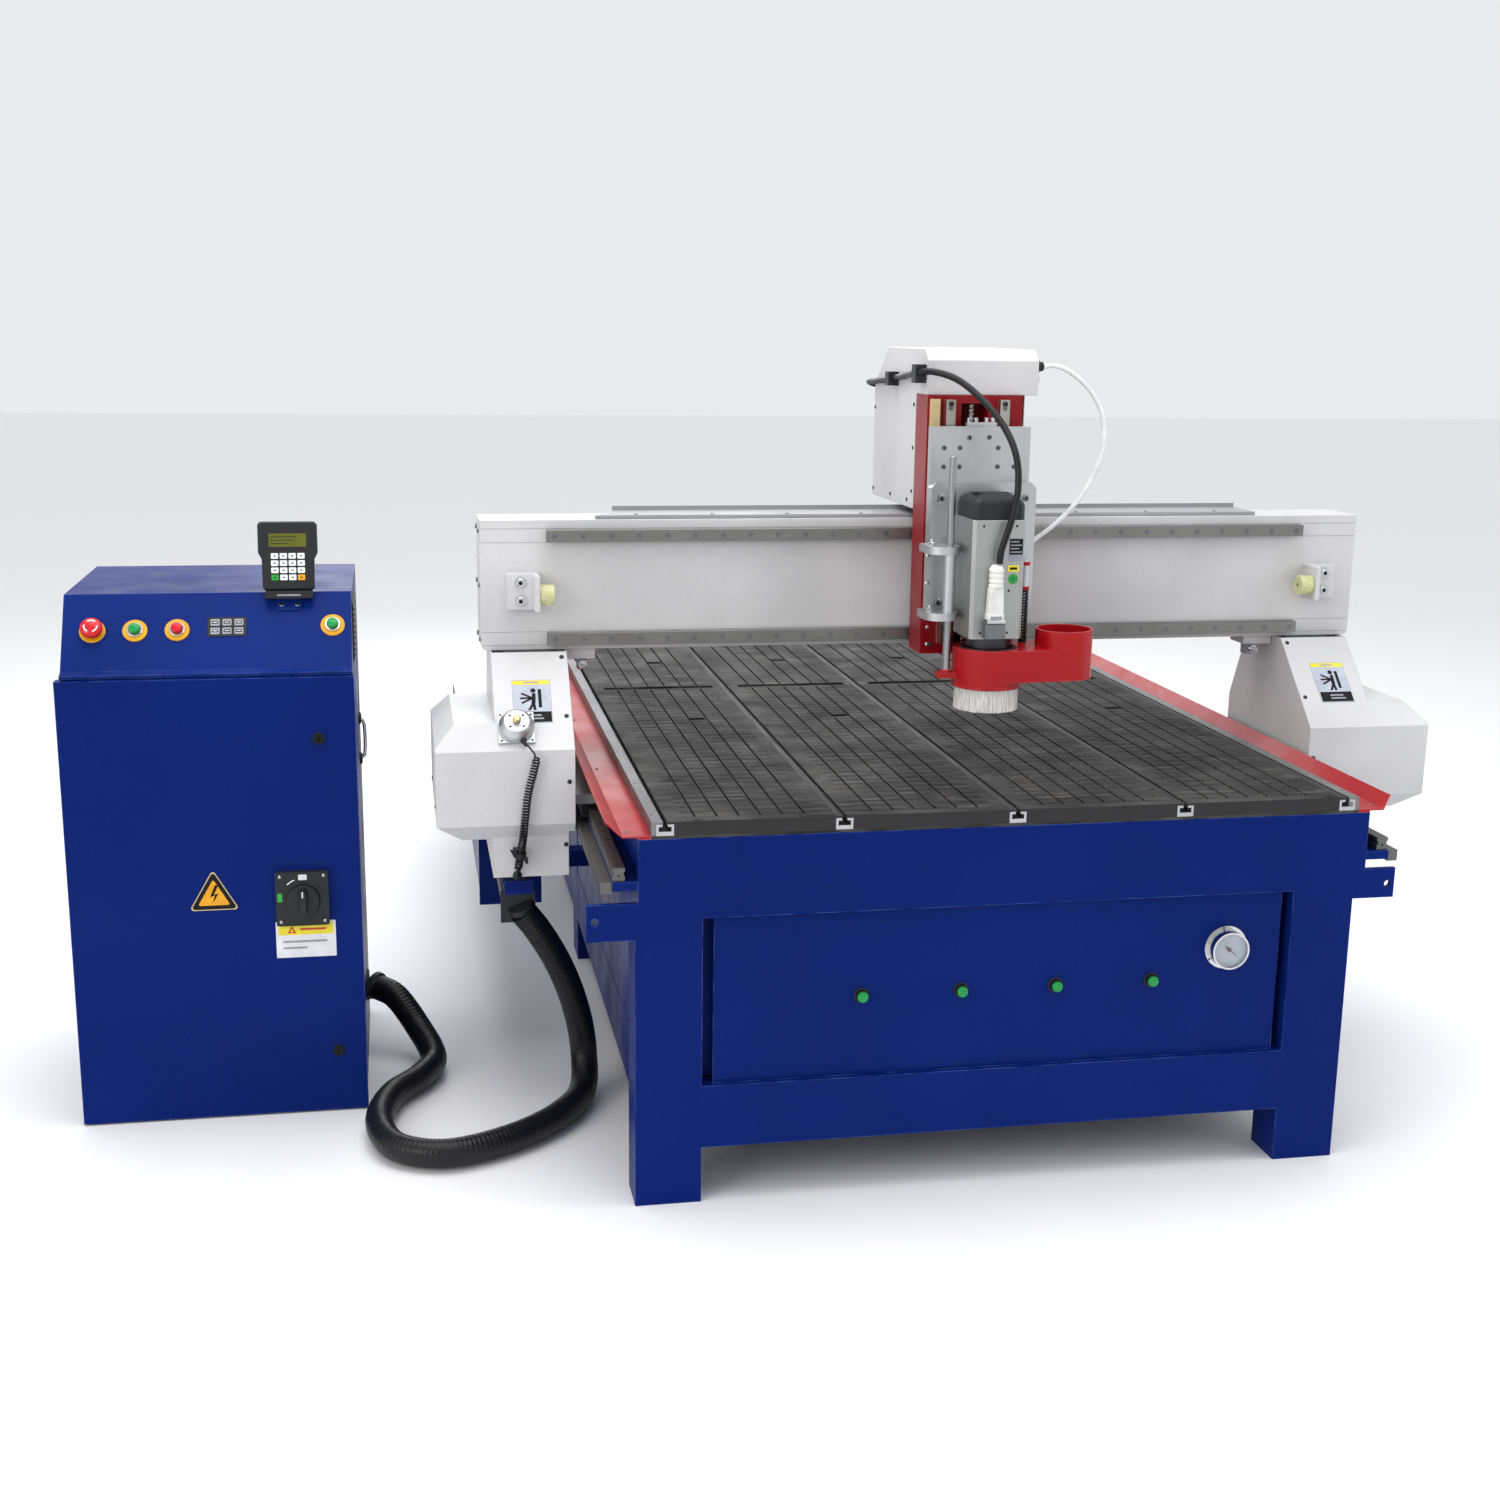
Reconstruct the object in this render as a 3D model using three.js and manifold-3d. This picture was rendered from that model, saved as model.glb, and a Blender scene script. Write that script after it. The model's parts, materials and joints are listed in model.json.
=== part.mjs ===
// Three-axis CNC router with a moving gantry, a vacuum T-slot bed and a free-standing control cabinet.
// Millimetres, +Z up. Machine axes: x = 0 on the bed's centre line, y = 0 at the front face, z = 0 floor.
import * as THREE from "three";
import { mergeVertices } from "three/addons/utils/BufferGeometryUtils.js";
import Module from "manifold-3d";

const wasm = await Module();
wasm.setup();

// ---------------------------------------------------------------- driving dimensions
const GAP = 0.3;

// bed and T-slot tracks
const TRACK_PITCH = 345;
const TRACK_COUNT = 5;
const TRACK_W = 52;
const BED_LENGTH = 2620;
const BED_TOP = 775;
const BED_BASE = 5;
const BED_HALF = 2 * TRACK_PITCH + TRACK_W / 2;

// welded base
const FRAME_LENGTH = 3060;
const BEAM_TOP = 742;
const BEAM_BOTTOM = 583;
const BEAM_HALF = 741;
const END_DEPTH = 100;
const LOWER_TOP = 242;
const LOWER_BOTTOM = 114;
const LEG_HALF = 733;
const LEG_W = 130;
const LEG_DEPTH = END_DEPTH;
const LEG_SHIFT = -14;
const WALL = 8;
const SIDE_BEAM_W = 60;
const PANEL_FRONT = 12;
const PANEL_SETBACK = 26;
const DECK_T = 8;
const POST_Y = [1470, 1585];

// Y guide: ledge, rail and rack on each side
const LEDGE_TOP = 661;
const LEDGE_OUT = 790;
const RAIL_X = 777;
const RAIL_H = 27;
const RACK_OUT = 812;
const RACK_BOTTOM = 637;
const PINION_R = 19.4;

// gantry
const GANTRY_FRONT = 623;
const GANTRY_BACK = 757;
const GANTRY_BOTTOM = 998;
const GANTRY_TOP = 1275;
const GANTRY_HALF = 997;
const X_RAIL_HALF = 857;
const X_RAIL_PROUD = 22;
const X_RAIL_Z = [1022.5, 1242.5];
const FOOT_IN = 818;
const FOOT_OUT = 1104;
const FOOT_FRONT = 419;
const FOOT_BACK = 840;
const FOOT_BOTTOM = 665;
const FOOT_NOSE = 823;
const FOOT_TOP = 872;
const COLUMN_OUT = 979;
const APRON_BOTTOM = 545;
const SHEET = 3;
const BUFFER_Z = 1122;

// carriage, Z axis and spindle
const AXIS_X = 38;
const AXIS_Y = 350;
const COLUMN_HALF = 104;
const COLUMN_FRONT = 500;
const COLUMN_BACK = 587;
const COLUMN_BOTTOM = 995;
const HOOD_BOTTOM = 1544;
const HOOD_TOP = 1638;
const HOOD_RIGHT = 178;
const COVER_BACK = 945;
const COVER_BOTTOM = 1298;
const Z_RAIL_OFF = 59;
const Z_PLATE_FRONT = 444;
const Z_PLATE_BACK = 464;
const SPINDLE_W = 112;
const SPINDLE_BOTTOM = 1057;
const SPINDLE_TOP = 1302;
const SHOE_R = 73;
const SHOE_BOTTOM = 955;
const SHOE_TOP = 1035;
const PORT_X = 204;
const ROD_X = -50;

// control cabinet
const CAB_LEFT = -1857;
const CAB_RIGHT = -1263;
const CAB_FRONT = 553;
const CAB_BACK = 1155;
const CAB_TOP = 1120;
const DOOR_TOP = 962;
const DOOR_T = 30;
const SLOPE_LOW = [586, 976];
const SLOPE_HIGH = [693, 1120];

// ---------------------------------------------------------------- solids
function toSolid(geometry) {
  const plain = new THREE.BufferGeometry();
  plain.setAttribute("position", geometry.getAttribute("position").clone());
  if (geometry.index) plain.setIndex(geometry.index.clone());
  const welded = mergeVertices(plain, 1e-4);
  const mesh = new wasm.Mesh({
    numProp: 3,
    vertProperties: new Float32Array(welded.attributes.position.array),
    triVerts: new Uint32Array(welded.index.array),
  });
  return new wasm.Manifold(mesh);
}

function box(x0, x1, y0, y1, z0, z1) {
  const geometry = new THREE.BoxGeometry(Math.abs(x1 - x0), Math.abs(y1 - y0), Math.abs(z1 - z0));
  geometry.translate((x0 + x1) / 2, (y0 + y1) / 2, (z0 + z1) / 2);
  return toSolid(geometry);
}

// An outline swept along an axis. Along x it is read as (y, z), along y as (x, z), along z as (x, y).
function prism(outline, axis, from, to) {
  const low = Math.min(from, to);
  const points = outline.map(([a, b]) => (axis === "y" ? new THREE.Vector2(b, a) : new THREE.Vector2(a, b)));
  const geometry = new THREE.ExtrudeGeometry(new THREE.Shape(points), {
    depth: Math.abs(to - from),
    bevelEnabled: false,
  });
  geometry.translate(0, 0, low);
  const columns = {
    x: [new THREE.Vector3(0, 1, 0), new THREE.Vector3(0, 0, 1), new THREE.Vector3(1, 0, 0)],
    y: [new THREE.Vector3(0, 0, 1), new THREE.Vector3(1, 0, 0), new THREE.Vector3(0, 1, 0)],
    z: [new THREE.Vector3(1, 0, 0), new THREE.Vector3(0, 1, 0), new THREE.Vector3(0, 0, 1)],
  }[axis];
  geometry.applyMatrix4(new THREE.Matrix4().makeBasis(...columns));
  return toSolid(geometry);
}

function circle(a, b, radius, sides) {
  const points = [];
  for (let i = 0; i < sides; i += 1) {
    const angle = (2 * Math.PI * (i + 0.5)) / sides;
    points.push([a + radius * Math.cos(angle), b + radius * Math.sin(angle)]);
  }
  return points;
}

function cylinder(axis, a, b, radius, from, to, sides = 32) {
  return prism(circle(a, b, radius, sides), axis, from, to);
}

function ring(axis, a, b, outer, inner, from, to, sides = 48) {
  return cylinder(axis, a, b, outer, from, to, sides).subtract(cylinder(axis, a, b, inner, from - 1, to + 1, sides));
}

function union(...solids) {
  return solids.reduce((sum, solid) => sum.add(solid));
}

// A solid of revolution about a vertical axis through (x, y); the profile is (radius, z) points, closed.
function turned(profile, x, y, sides = 40) {
  const points = profile.map(([r, z]) => new THREE.Vector2(r, z));
  points.push(points[0].clone());
  const geometry = new THREE.LatheGeometry(points, sides);
  geometry.rotateX(Math.PI / 2);
  geometry.translate(x, y, 0);
  const solid = toSolid(geometry);
  return solid.volume() < 0 ? toSolid(geometry.scale(1, -1, 1)) : solid;
}

// A round cord of constant thickness swept along a smooth path.
function cordSolid(points, diameter, sides, spacing) {
  const curve = new THREE.CatmullRomCurve3(points.map((p) => new THREE.Vector3(...p)), false, "centripetal");
  const steps = Math.min(80, Math.round(curve.getLength() / spacing));
  const outline = circle(0, 0, diameter / 2, sides).map(([a, b]) => new THREE.Vector2(a, b));
  return toSolid(new THREE.ExtrudeGeometry(new THREE.Shape(outline), { steps, extrudePath: curve }));
}

const machine = new THREE.Group();
machine.name = "machine_axes";

function addNode(name, solid, color, roughness, metalness) {
  const data = solid.getMesh();
  const geometry = new THREE.BufferGeometry();
  const positions = new Float32Array(data.numVert * 3);
  for (let v = 0; v < data.numVert; v += 1) {
    for (let k = 0; k < 3; k += 1) positions[v * 3 + k] = data.vertProperties[v * data.numProp + k];
  }
  geometry.setAttribute("position", new THREE.BufferAttribute(positions, 3));
  geometry.setIndex(new THREE.BufferAttribute(new Uint32Array(data.triVerts), 1));
  geometry.computeVertexNormals();
  const mesh = new THREE.Mesh(geometry, new THREE.MeshStandardMaterial({ color, roughness, metalness }));
  mesh.name = name;
  machine.add(mesh);
}

const BLUE = [0x14208c, 0.45, 0.0];
const WHITE = [0xe8e8ea, 0.4, 0.0];
const RED = [0xb01018, 0.4, 0.0];
const STEEL = [0x9a9da2, 0.3, 1.0];
const ALU = [0xc4c6c8, 0.4, 0.9];
const DARK = [0x35363a, 0.6, 0.0];
const BLACK = [0x141416, 0.5, 0.0];
const GREY = [0xa6a7ab, 0.45, 0.3];

// ---------------------------------------------------------------- welded base
function endFrame(front) {
  const y0 = front ? 0 : FRAME_LENGTH - END_DEPTH;
  const y1 = y0 + END_DEPTH;
  const face = front ? 0 : FRAME_LENGTH;
  const inward = front ? 1 : -1;
  const legs = [-LEG_HALF, LEG_HALF - LEG_W].map((x) => {
    const left = x + LEG_SHIFT;
    const outer = box(left, left + LEG_W, face, face + inward * LEG_DEPTH, 0, BEAM_BOTTOM + 1);
    const core = box(
      left + WALL, left + LEG_W - WALL,
      face + inward * WALL, face + inward * (LEG_DEPTH + 1),
      WALL, BEAM_BOTTOM - WALL,
    );
    return outer.subtract(core);
  });
  const innerLeft = -LEG_HALF + LEG_W + LEG_SHIFT;
  const innerRight = LEG_HALF - LEG_W + LEG_SHIFT;
  const topBeam = box(-BEAM_HALF, BEAM_HALF, y0, y1, BEAM_BOTTOM, BEAM_TOP);
  const topCore = box(
    -BEAM_HALF + WALL, BEAM_HALF - WALL,
    face + inward * WALL, face + inward * (END_DEPTH + 1),
    BEAM_BOTTOM + WALL, BEAM_TOP - WALL,
  );
  const lowBeam = box(innerLeft - 1, innerRight + 1, y0, y1, LOWER_BOTTOM, LOWER_TOP);
  const lowCore = box(
    innerLeft + WALL, innerRight - WALL,
    face + inward * WALL, face + inward * (END_DEPTH + 1),
    LOWER_BOTTOM + WALL, LOWER_TOP - WALL,
  );
  // closing panel, set back from the face, with a shadow gap beside each leg
  const panel = box(
    innerLeft + 23, innerRight - 18,
    face + inward * PANEL_FRONT, face + inward * (PANEL_FRONT + 5),
    LOWER_TOP - 5, BEAM_BOTTOM + 5,
  );
  return union(topBeam.subtract(topCore), lowBeam.subtract(lowCore), panel, ...legs);
}

function frontFrame() {
  const leftTab = box(-840, -BEAM_HALF + 1, 0, 10, 545, 618);
  const leftStrap = box(-BEAM_HALF - 1, -BEAM_HALF + 20, 0, 10, 545, 618);
  const rightTab = box(BEAM_HALF - 1, 808, 0, 10, 583, 624);
  const rightToe = box(LEG_HALF + LEG_SHIFT - 1, 808, 0, 10, 562, 590);
  const leftHole = cylinder("y", -823, 584, 7, -1, 11, 20);
  const rightHole = cylinder("y", 793, 591, 7, -1, 11, 20);
  return union(endFrame(true), leftTab, leftStrap, rightTab, rightToe).subtract(union(leftHole, rightHole));
}

function sideFrame(side) {
  const inner = side * (BEAM_HALF + GAP - SIDE_BEAM_W);
  const outer = side * (BEAM_HALF + GAP);
  const y0 = END_DEPTH + GAP;
  const y1 = FRAME_LENGTH - END_DEPTH - GAP;
  const core = side * WALL;
  const top = box(inner, outer, y0, y1, BEAM_BOTTOM, BEAM_TOP);
  const topCore = box(inner - core, outer - core, y0 + WALL, y1 - WALL, BEAM_BOTTOM + WALL, BEAM_TOP - WALL);
  const legY = LEG_DEPTH + GAP;
  const low = box(inner, outer - side * 24, legY, FRAME_LENGTH - legY, LOWER_BOTTOM, LOWER_TOP);
  const lowCore = box(
    inner - core, outer - side * (24 + WALL),
    legY + WALL, FRAME_LENGTH - legY - WALL,
    LOWER_BOTTOM + WALL, LOWER_TOP - WALL,
  );
  const ledge = box(outer - side * 2, side * LEDGE_OUT, 0, FRAME_LENGTH, LEDGE_TOP - 18, LEDGE_TOP);
  const ledgeRelief = box(
    side * (BEAM_HALF - 3), outer,
    -1, END_DEPTH + GAP,
    LEDGE_TOP - 30, LEDGE_TOP + 10,
  );
  const backRelief = box(
    side * (BEAM_HALF - 3), outer,
    FRAME_LENGTH - END_DEPTH - GAP, FRAME_LENGTH + 1,
    LEDGE_TOP - 30, LEDGE_TOP + 10,
  );
  const panel = box(outer - side * (PANEL_SETBACK + 4), outer - side * PANEL_SETBACK, legY, FRAME_LENGTH - legY, LOWER_TOP - 5, BEAM_BOTTOM + 5);
  const post = box(inner - side * 50, outer - side * 24, POST_Y[0], POST_Y[1], 0, BEAM_BOTTOM + 5);
  const postCore = box(
    inner - side * 51, outer - side * (24 + WALL),
    POST_Y[0] + WALL, POST_Y[1] - WALL,
    WALL, BEAM_BOTTOM - WALL,
  );
  const ribs = [];
  for (let y = 420; y < FRAME_LENGTH - 300; y += 420) {
    ribs.push(prism(
      [[side * (BEAM_HALF - 2), 600], [side * (LEDGE_OUT - 8), LEDGE_TOP - 17], [side * (BEAM_HALF - 2), LEDGE_TOP - 17]],
      "y", y, y + 8,
    ));
  }
  const shell = union(top, ledge).subtract(union(topCore, ledgeRelief, backRelief));
  return union(shell, low.subtract(lowCore), panel, post, ...ribs).subtract(postCore);
}

function bedDeck() {
  const inside = BEAM_HALF - SIDE_BEAM_W;
  const top = BEAM_TOP - GAP;
  return box(-inside, inside, END_DEPTH + GAP, FRAME_LENGTH - END_DEPTH - GAP, top - DECK_T, top);
}

// ---------------------------------------------------------------- bed
function vacuumBed() {
  const base = BEAM_TOP + GAP;
  const outline = [[-BED_HALF, base], [BED_HALF, base], [BED_HALF, base + BED_BASE]];
  const padHalf = (TRACK_PITCH - TRACK_W) / 2 - GAP;
  const grooves = 7;
  const groovePitch = (2 * padHalf) / (grooves + 1);
  for (let pad = 1.5; pad >= -1.5; pad -= 1) {
    const centre = pad * TRACK_PITCH;
    outline.push([centre + padHalf, base + BED_BASE], [centre + padHalf, BED_TOP]);
    for (let g = grooves; g >= 1; g -= 1) {
      const x = centre - padHalf + g * groovePitch;
      outline.push([x + 3, BED_TOP], [x + 3, BED_TOP - 7], [x - 3, BED_TOP - 7], [x - 3, BED_TOP]);
    }
    outline.push([centre - padHalf, BED_TOP], [centre - padHalf, base + BED_BASE]);
  }
  outline.push([-BED_HALF, base + BED_BASE]);
  const zoneBreak = box(-BED_HALF - 1, BED_HALF + 1, BED_LENGTH / 2 - 4, BED_LENGTH / 2 + 4, BED_TOP - 12, BED_TOP + 1);
  return prism(outline, "y", 0, BED_LENGTH).subtract(zoneBreak);
}

function tSlotTracks() {
  const low = BEAM_TOP + GAP + BED_BASE + GAP;
  const parts = [];
  const half = TRACK_W / 2;
  for (let i = 0; i < TRACK_COUNT; i += 1) {
    const x = (i - (TRACK_COUNT - 1) / 2) * TRACK_PITCH;
    const outline = [
      [x - half, low], [x + half, low], [x + half, BED_TOP],
      [x + 6, BED_TOP], [x + 6, BED_TOP - 6], [x + 12, BED_TOP - 6], [x + 12, BED_TOP - 15],
      [x - 12, BED_TOP - 15], [x - 12, BED_TOP - 6], [x - 6, BED_TOP - 6], [x - 6, BED_TOP],
      [x - half, BED_TOP],
    ];
    parts.push(prism(outline, "y", 0, BED_LENGTH + GAP + 1));
  }
  const endBar = box(-BED_HALF, BED_HALF, BED_LENGTH + GAP, BED_LENGTH + 30, low, BED_TOP);
  return union(endBar, ...parts);
}

function guard(side) {
  const outline = [
    [BED_HALF + 0.5, BEAM_TOP + GAP], [BEAM_HALF, BEAM_TOP + GAP], [BEAM_HALF, BEAM_TOP + 4],
    [770.5, BEAM_TOP + 4], [800, 768], [798.2, 770.4], [769.5, BEAM_TOP + 7], [BED_HALF + 0.5, BEAM_TOP + 7],
  ];
  const sheet = prism(outline.map(([x, z]) => [side * x, z]), "y", 0, BED_LENGTH + 30);
  const corner = prism([[770, -1], [801, -1], [801, 30]], "z", BEAM_TOP, 772);
  return sheet.subtract(mirrorX(corner, side));
}

function yRail(side) {
  const low = LEDGE_TOP + GAP;
  const outline = [
    [-12, 0], [12, 0], [12, 9], [9.5, 12], [9.5, 17], [12, 20], [12, RAIL_H - 1], [-12, RAIL_H - 1],
    [-12, 20], [-9.5, 17], [-9.5, 12], [-12, 9],
  ];
  return prism(outline.map(([x, z]) => [side * RAIL_X + x, low + z]), "y", 5, FRAME_LENGTH - 5);
}

function yRack(side) {
  return box(side * (LEDGE_OUT + GAP), side * RACK_OUT, 5, FRAME_LENGTH - 5, RACK_BOTTOM, LEDGE_TOP - 1);
}

// ---------------------------------------------------------------- vacuum gauge and zone buttons
const GAUGE_X = 455;
const GAUGE_Z = 469;
const GAUGE_PROUD = 18;

function gaugeCase() {
  const flange = cylinder("y", GAUGE_X, GAUGE_Z, 45, 8, PANEL_FRONT - GAP, 48);
  const drum = ring("y", GAUGE_X, GAUGE_Z, 39, 35, -GAUGE_PROUD, 9);
  const floor = cylinder("y", GAUGE_X, GAUGE_Z, 37, -4, 9, 48);
  const pivot = cylinder("y", GAUGE_X, GAUGE_Z, 2, -6, -3, 16);
  return union(flange, drum, floor, pivot);
}

function gaugeNeedle() {
  const hub = cylinder("y", GAUGE_X, GAUGE_Z, 4, -8.5, -6.5, 20);
  const hand = prism(
    [[GAUGE_X - 8, GAUGE_Z + 4.5], [GAUGE_X - 5.5, GAUGE_Z + 7], [GAUGE_X + 20, GAUGE_Z - 17]],
    "y", -8.5, -6.5,
  );
  return union(hub, hand);
}

function zoneButton(x) {
  const head = cylinder("y", x, 407, 11, -6, 2, 28);
  const stem = cylinder("y", x, 407, 6, 1, 7, 20);
  return union(head, stem);
}

// ---------------------------------------------------------------- gantry
function legCoverBlank(i) {
  // i is the inset from the outer skin; the inside is left open above the column and below the apron
  const low = FOOT_BOTTOM;
  const top = i ? GANTRY_BOTTOM + 12 : GANTRY_BOTTOM;
  const cut = i * 1.414;
  const slopeRun = FOOT_NOSE - FOOT_FRONT;
  const upper = prism([
    [FOOT_FRONT + i, low], [FOOT_FRONT + i, FOOT_NOSE - cut + i],
    [top - slopeRun + cut, top], [762 - cut, top], [FOOT_BACK - i, FOOT_NOSE - cut], [FOOT_BACK - i, low],
  ], "x", FOOT_IN + i, COLUMN_OUT - i);
  const foot = prism([
    [FOOT_FRONT + i, low], [FOOT_FRONT + i, FOOT_NOSE - cut + i],
    [FOOT_TOP - slopeRun + cut - i, FOOT_TOP - i], [800 - i, FOOT_TOP - i], [FOOT_BACK - i, FOOT_NOSE - cut],
    [FOOT_BACK - i, low],
  ], "x", FOOT_IN + i, FOOT_OUT - i);
  const shoulder = prism(
    [[1062 - i, FOOT_TOP + 1 - i * 0.4], [FOOT_OUT + 1, FOOT_TOP + 1], [FOOT_OUT + 1, 829 - i * 1.4]],
    "y", FOOT_FRONT - 1, FOOT_BACK + 1,
  );
  const skirt = box(FOOT_IN + i, FOOT_OUT - i, FOOT_FRONT + i, FOOT_BACK - i, low - 37, low + 1);
  const frontCut = prism([[FOOT_FRONT - 1, low], [FOOT_FRONT + i, low], [456 + i, low - 38], [FOOT_FRONT - 1, low - 38]],
    "x", FOOT_IN - 1, FOOT_OUT + 1);
  const sideCut = prism([[FOOT_OUT - i, low], [FOOT_OUT + 1, low], [FOOT_OUT + 1, low - 38], [1050 - i, low - 38]],
    "y", FOOT_FRONT - 1, FOOT_BACK + 1);
  const apron = box(FOOT_IN + 5 + i, 988 - i, 450 + i, 815 - i, i ? APRON_BOTTOM - 10 : APRON_BOTTOM, low);
  return union(upper, foot.subtract(shoulder), skirt.subtract(union(frontCut, sideCut)), apron);
}

function mirrorX(solid, side) {
  return side > 0 ? solid : solid.mirror([1, 0, 0]);
}

function legCover(side) {
  const doorway = box(FOOT_IN - 1, FOOT_IN + 12, 440, 822, APRON_BOTTOM - 1, 722);
  const underside = box(FOOT_IN + SHEET, 986, 452, 812, FOOT_BOTTOM - 45, FOOT_BOTTOM + 5);
  const shell = legCoverBlank(0).subtract(union(legCoverBlank(SHEET), doorway, underside));
  return mirrorX(shell, side);
}

function gantryLeg(side) {
  const plate = box(748, 975, 456, 810, 697.3, 717);
  const post = box(850, 950, 632, 746, 716, GANTRY_BOTTOM - GAP);
  const postCore = box(858, 942, 640, 738, 715, GANTRY_BOTTOM + 1);
  const gusset = prism([[520, 716], [633, 716], [633, 880]], "x", 895, 905);
  const blocks = [470, 705].map((y) => box(RAIL_X - 24, RAIL_X + 24, y, y + 88, 666, 698));
  const railWay = box(RAIL_X - 12.6, RAIL_X + 12.6, 400, 900, 600, LEDGE_TOP + GAP + RAIL_H - 0.4);
  const gearbox = box(832, 880, 595, 669, 582, 698);
  const motor = box(879, 968, 589, 675, 574, 660);
  const bore = cylinder("x", 632, RACK_BOTTOM - PINION_R - 0.6, 8, 825, 850, 24);
  const leg = union(plate, post.subtract(postCore), gusset, ...blocks, gearbox, motor);
  return mirrorX(leg.subtract(union(railWay, bore)), side);
}

function toothed(axis, a, b, from, to, teeth, outer, root) {
  const outline = [];
  for (let t = 0; t < teeth; t += 1) {
    const at = (k) => (2 * Math.PI * (t + k)) / teeth;
    outline.push([a + root * Math.cos(at(0)), b + root * Math.sin(at(0))]);
    outline.push([a + root * Math.cos(at(0.42)), b + root * Math.sin(at(0.42))]);
    outline.push([a + outer * Math.cos(at(0.58)), b + outer * Math.sin(at(0.58))]);
    outline.push([a + outer * Math.cos(at(0.84)), b + outer * Math.sin(at(0.84))]);
  }
  return prism(outline, axis, from, to);
}

function yPinion(side) {
  const z = RACK_BOTTOM - PINION_R - 0.6;
  const wheel = toothed("x", 632, z, 792, 811, 18, PINION_R, PINION_R - 4.5);
  const shaft = cylinder("x", 632, z, 6, 805, 845, 20);
  return mirrorX(union(wheel, shaft), side);
}

const BEAM_CORNER_R = 12;

// (x, z) outline of the beam from the front: square above, its lower corners rounded
function beamOutline() {
  const points = [[GANTRY_HALF, GANTRY_TOP], [-GANTRY_HALF, GANTRY_TOP]];
  for (const s of [-1, 1]) {
    for (let i = 0; i <= 4; i += 1) {
      const angle = (i / 4) * (Math.PI / 2);
      const turn = s < 0 ? angle : Math.PI / 2 - angle;
      points.push([
        s * (GANTRY_HALF - BEAM_CORNER_R + BEAM_CORNER_R * Math.cos(turn)),
        GANTRY_BOTTOM + BEAM_CORNER_R - BEAM_CORNER_R * Math.sin(turn),
      ]);
    }
  }
  return points;
}

function gantryBeam() {
  const blank = prism(beamOutline(), "y", GANTRY_FRONT, GANTRY_BACK);
  const core = box(
    -GANTRY_HALF + WALL, GANTRY_HALF - WALL,
    GANTRY_FRONT + WALL, GANTRY_BACK - WALL,
    GANTRY_BOTTOM + WALL, GANTRY_TOP - WALL,
  );
  const windows = [-600, -200, 200, 600].map((x) => box(x - 60, x + 60, GANTRY_BACK - 20, GANTRY_BACK + 1, 1060, 1160));
  const rack = box(-900, 900, GANTRY_BACK - 1, GANTRY_BACK + 22, 1235, 1257);
  const blocks = [-1, 1].map((s) => box(s * 881, s * 943, GANTRY_FRONT - 24, GANTRY_FRONT + 1, 1088, 1164));
  const lugs = [-1, 1].map((s) => box(s * 875, s * 887, GANTRY_FRONT - 64, GANTRY_FRONT + 1, 1088, 1164));
  return union(blank.subtract(core), rack, ...blocks, ...lugs).subtract(union(...windows));
}

function buffer(side) {
  return cylinder("x", GANTRY_FRONT - 40, BUFFER_Z, 21.5, side * 844, side * (875 - GAP), 32);
}

function xRail(z) {
  const outline = [
    [0, -12.5], [0, 12.5], [-8, 12.5], [-10.5, 10], [-14.5, 10], [-17, 12.5], [-X_RAIL_PROUD, 12.5],
    [-X_RAIL_PROUD, -12.5], [-17, -12.5], [-14.5, -10], [-10.5, -10], [-8, -12.5],
  ];
  return prism(outline.map(([y, w]) => [GANTRY_FRONT - GAP + y, z + w]), "x", -X_RAIL_HALF, X_RAIL_HALF);
}

function beamShelf() {
  const outline = [[-752, 634], [752, 634], [752, 752], [-700, 752]];
  return prism(outline, "z", GANTRY_TOP + GAP, GANTRY_TOP + 8);
}

// ---------------------------------------------------------------- tool setter, flat on the left foot's slope
const SETTER_X = -936;
const SETTER_FOOT_Y = 457;
const SETTER_R = 37;
const SETTER_TOP = 31;
const SETTER_BORE_R = 9;

// turns a solid made upright at the origin onto the foot's 45 degree slope
function onFootSlope(solid) {
  const footZ = SETTER_FOOT_Y + FOOT_NOSE - FOOT_FRONT + 1.5 * GAP;
  return solid.rotate([45, 0, 0]).translate([SETTER_X, SETTER_FOOT_Y, footZ]);
}

function toolSetter() {
  const plate = box(-SETTER_R, SETTER_R, -SETTER_R, SETTER_R, 0, 6);
  const puck = turned(
    [[SETTER_BORE_R, 5], [SETTER_R, 5], [SETTER_R, 15], [34, 23], [26, SETTER_TOP], [SETTER_BORE_R, SETTER_TOP]],
    0, 0,
  );
  const floor = cylinder("z", 0, 0, SETTER_BORE_R + 3, 5, 15, 24);
  return onFootSlope(union(plate, puck, floor));
}

function setterPlunger() {
  const stem = cylinder("z", 0, 0, 7, 21, 37, 20);
  const button = cylinder("z", 0, 0, SETTER_BORE_R - 0.4, 36, 42, 28);
  return onFootSlope(union(stem, button));
}

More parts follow.
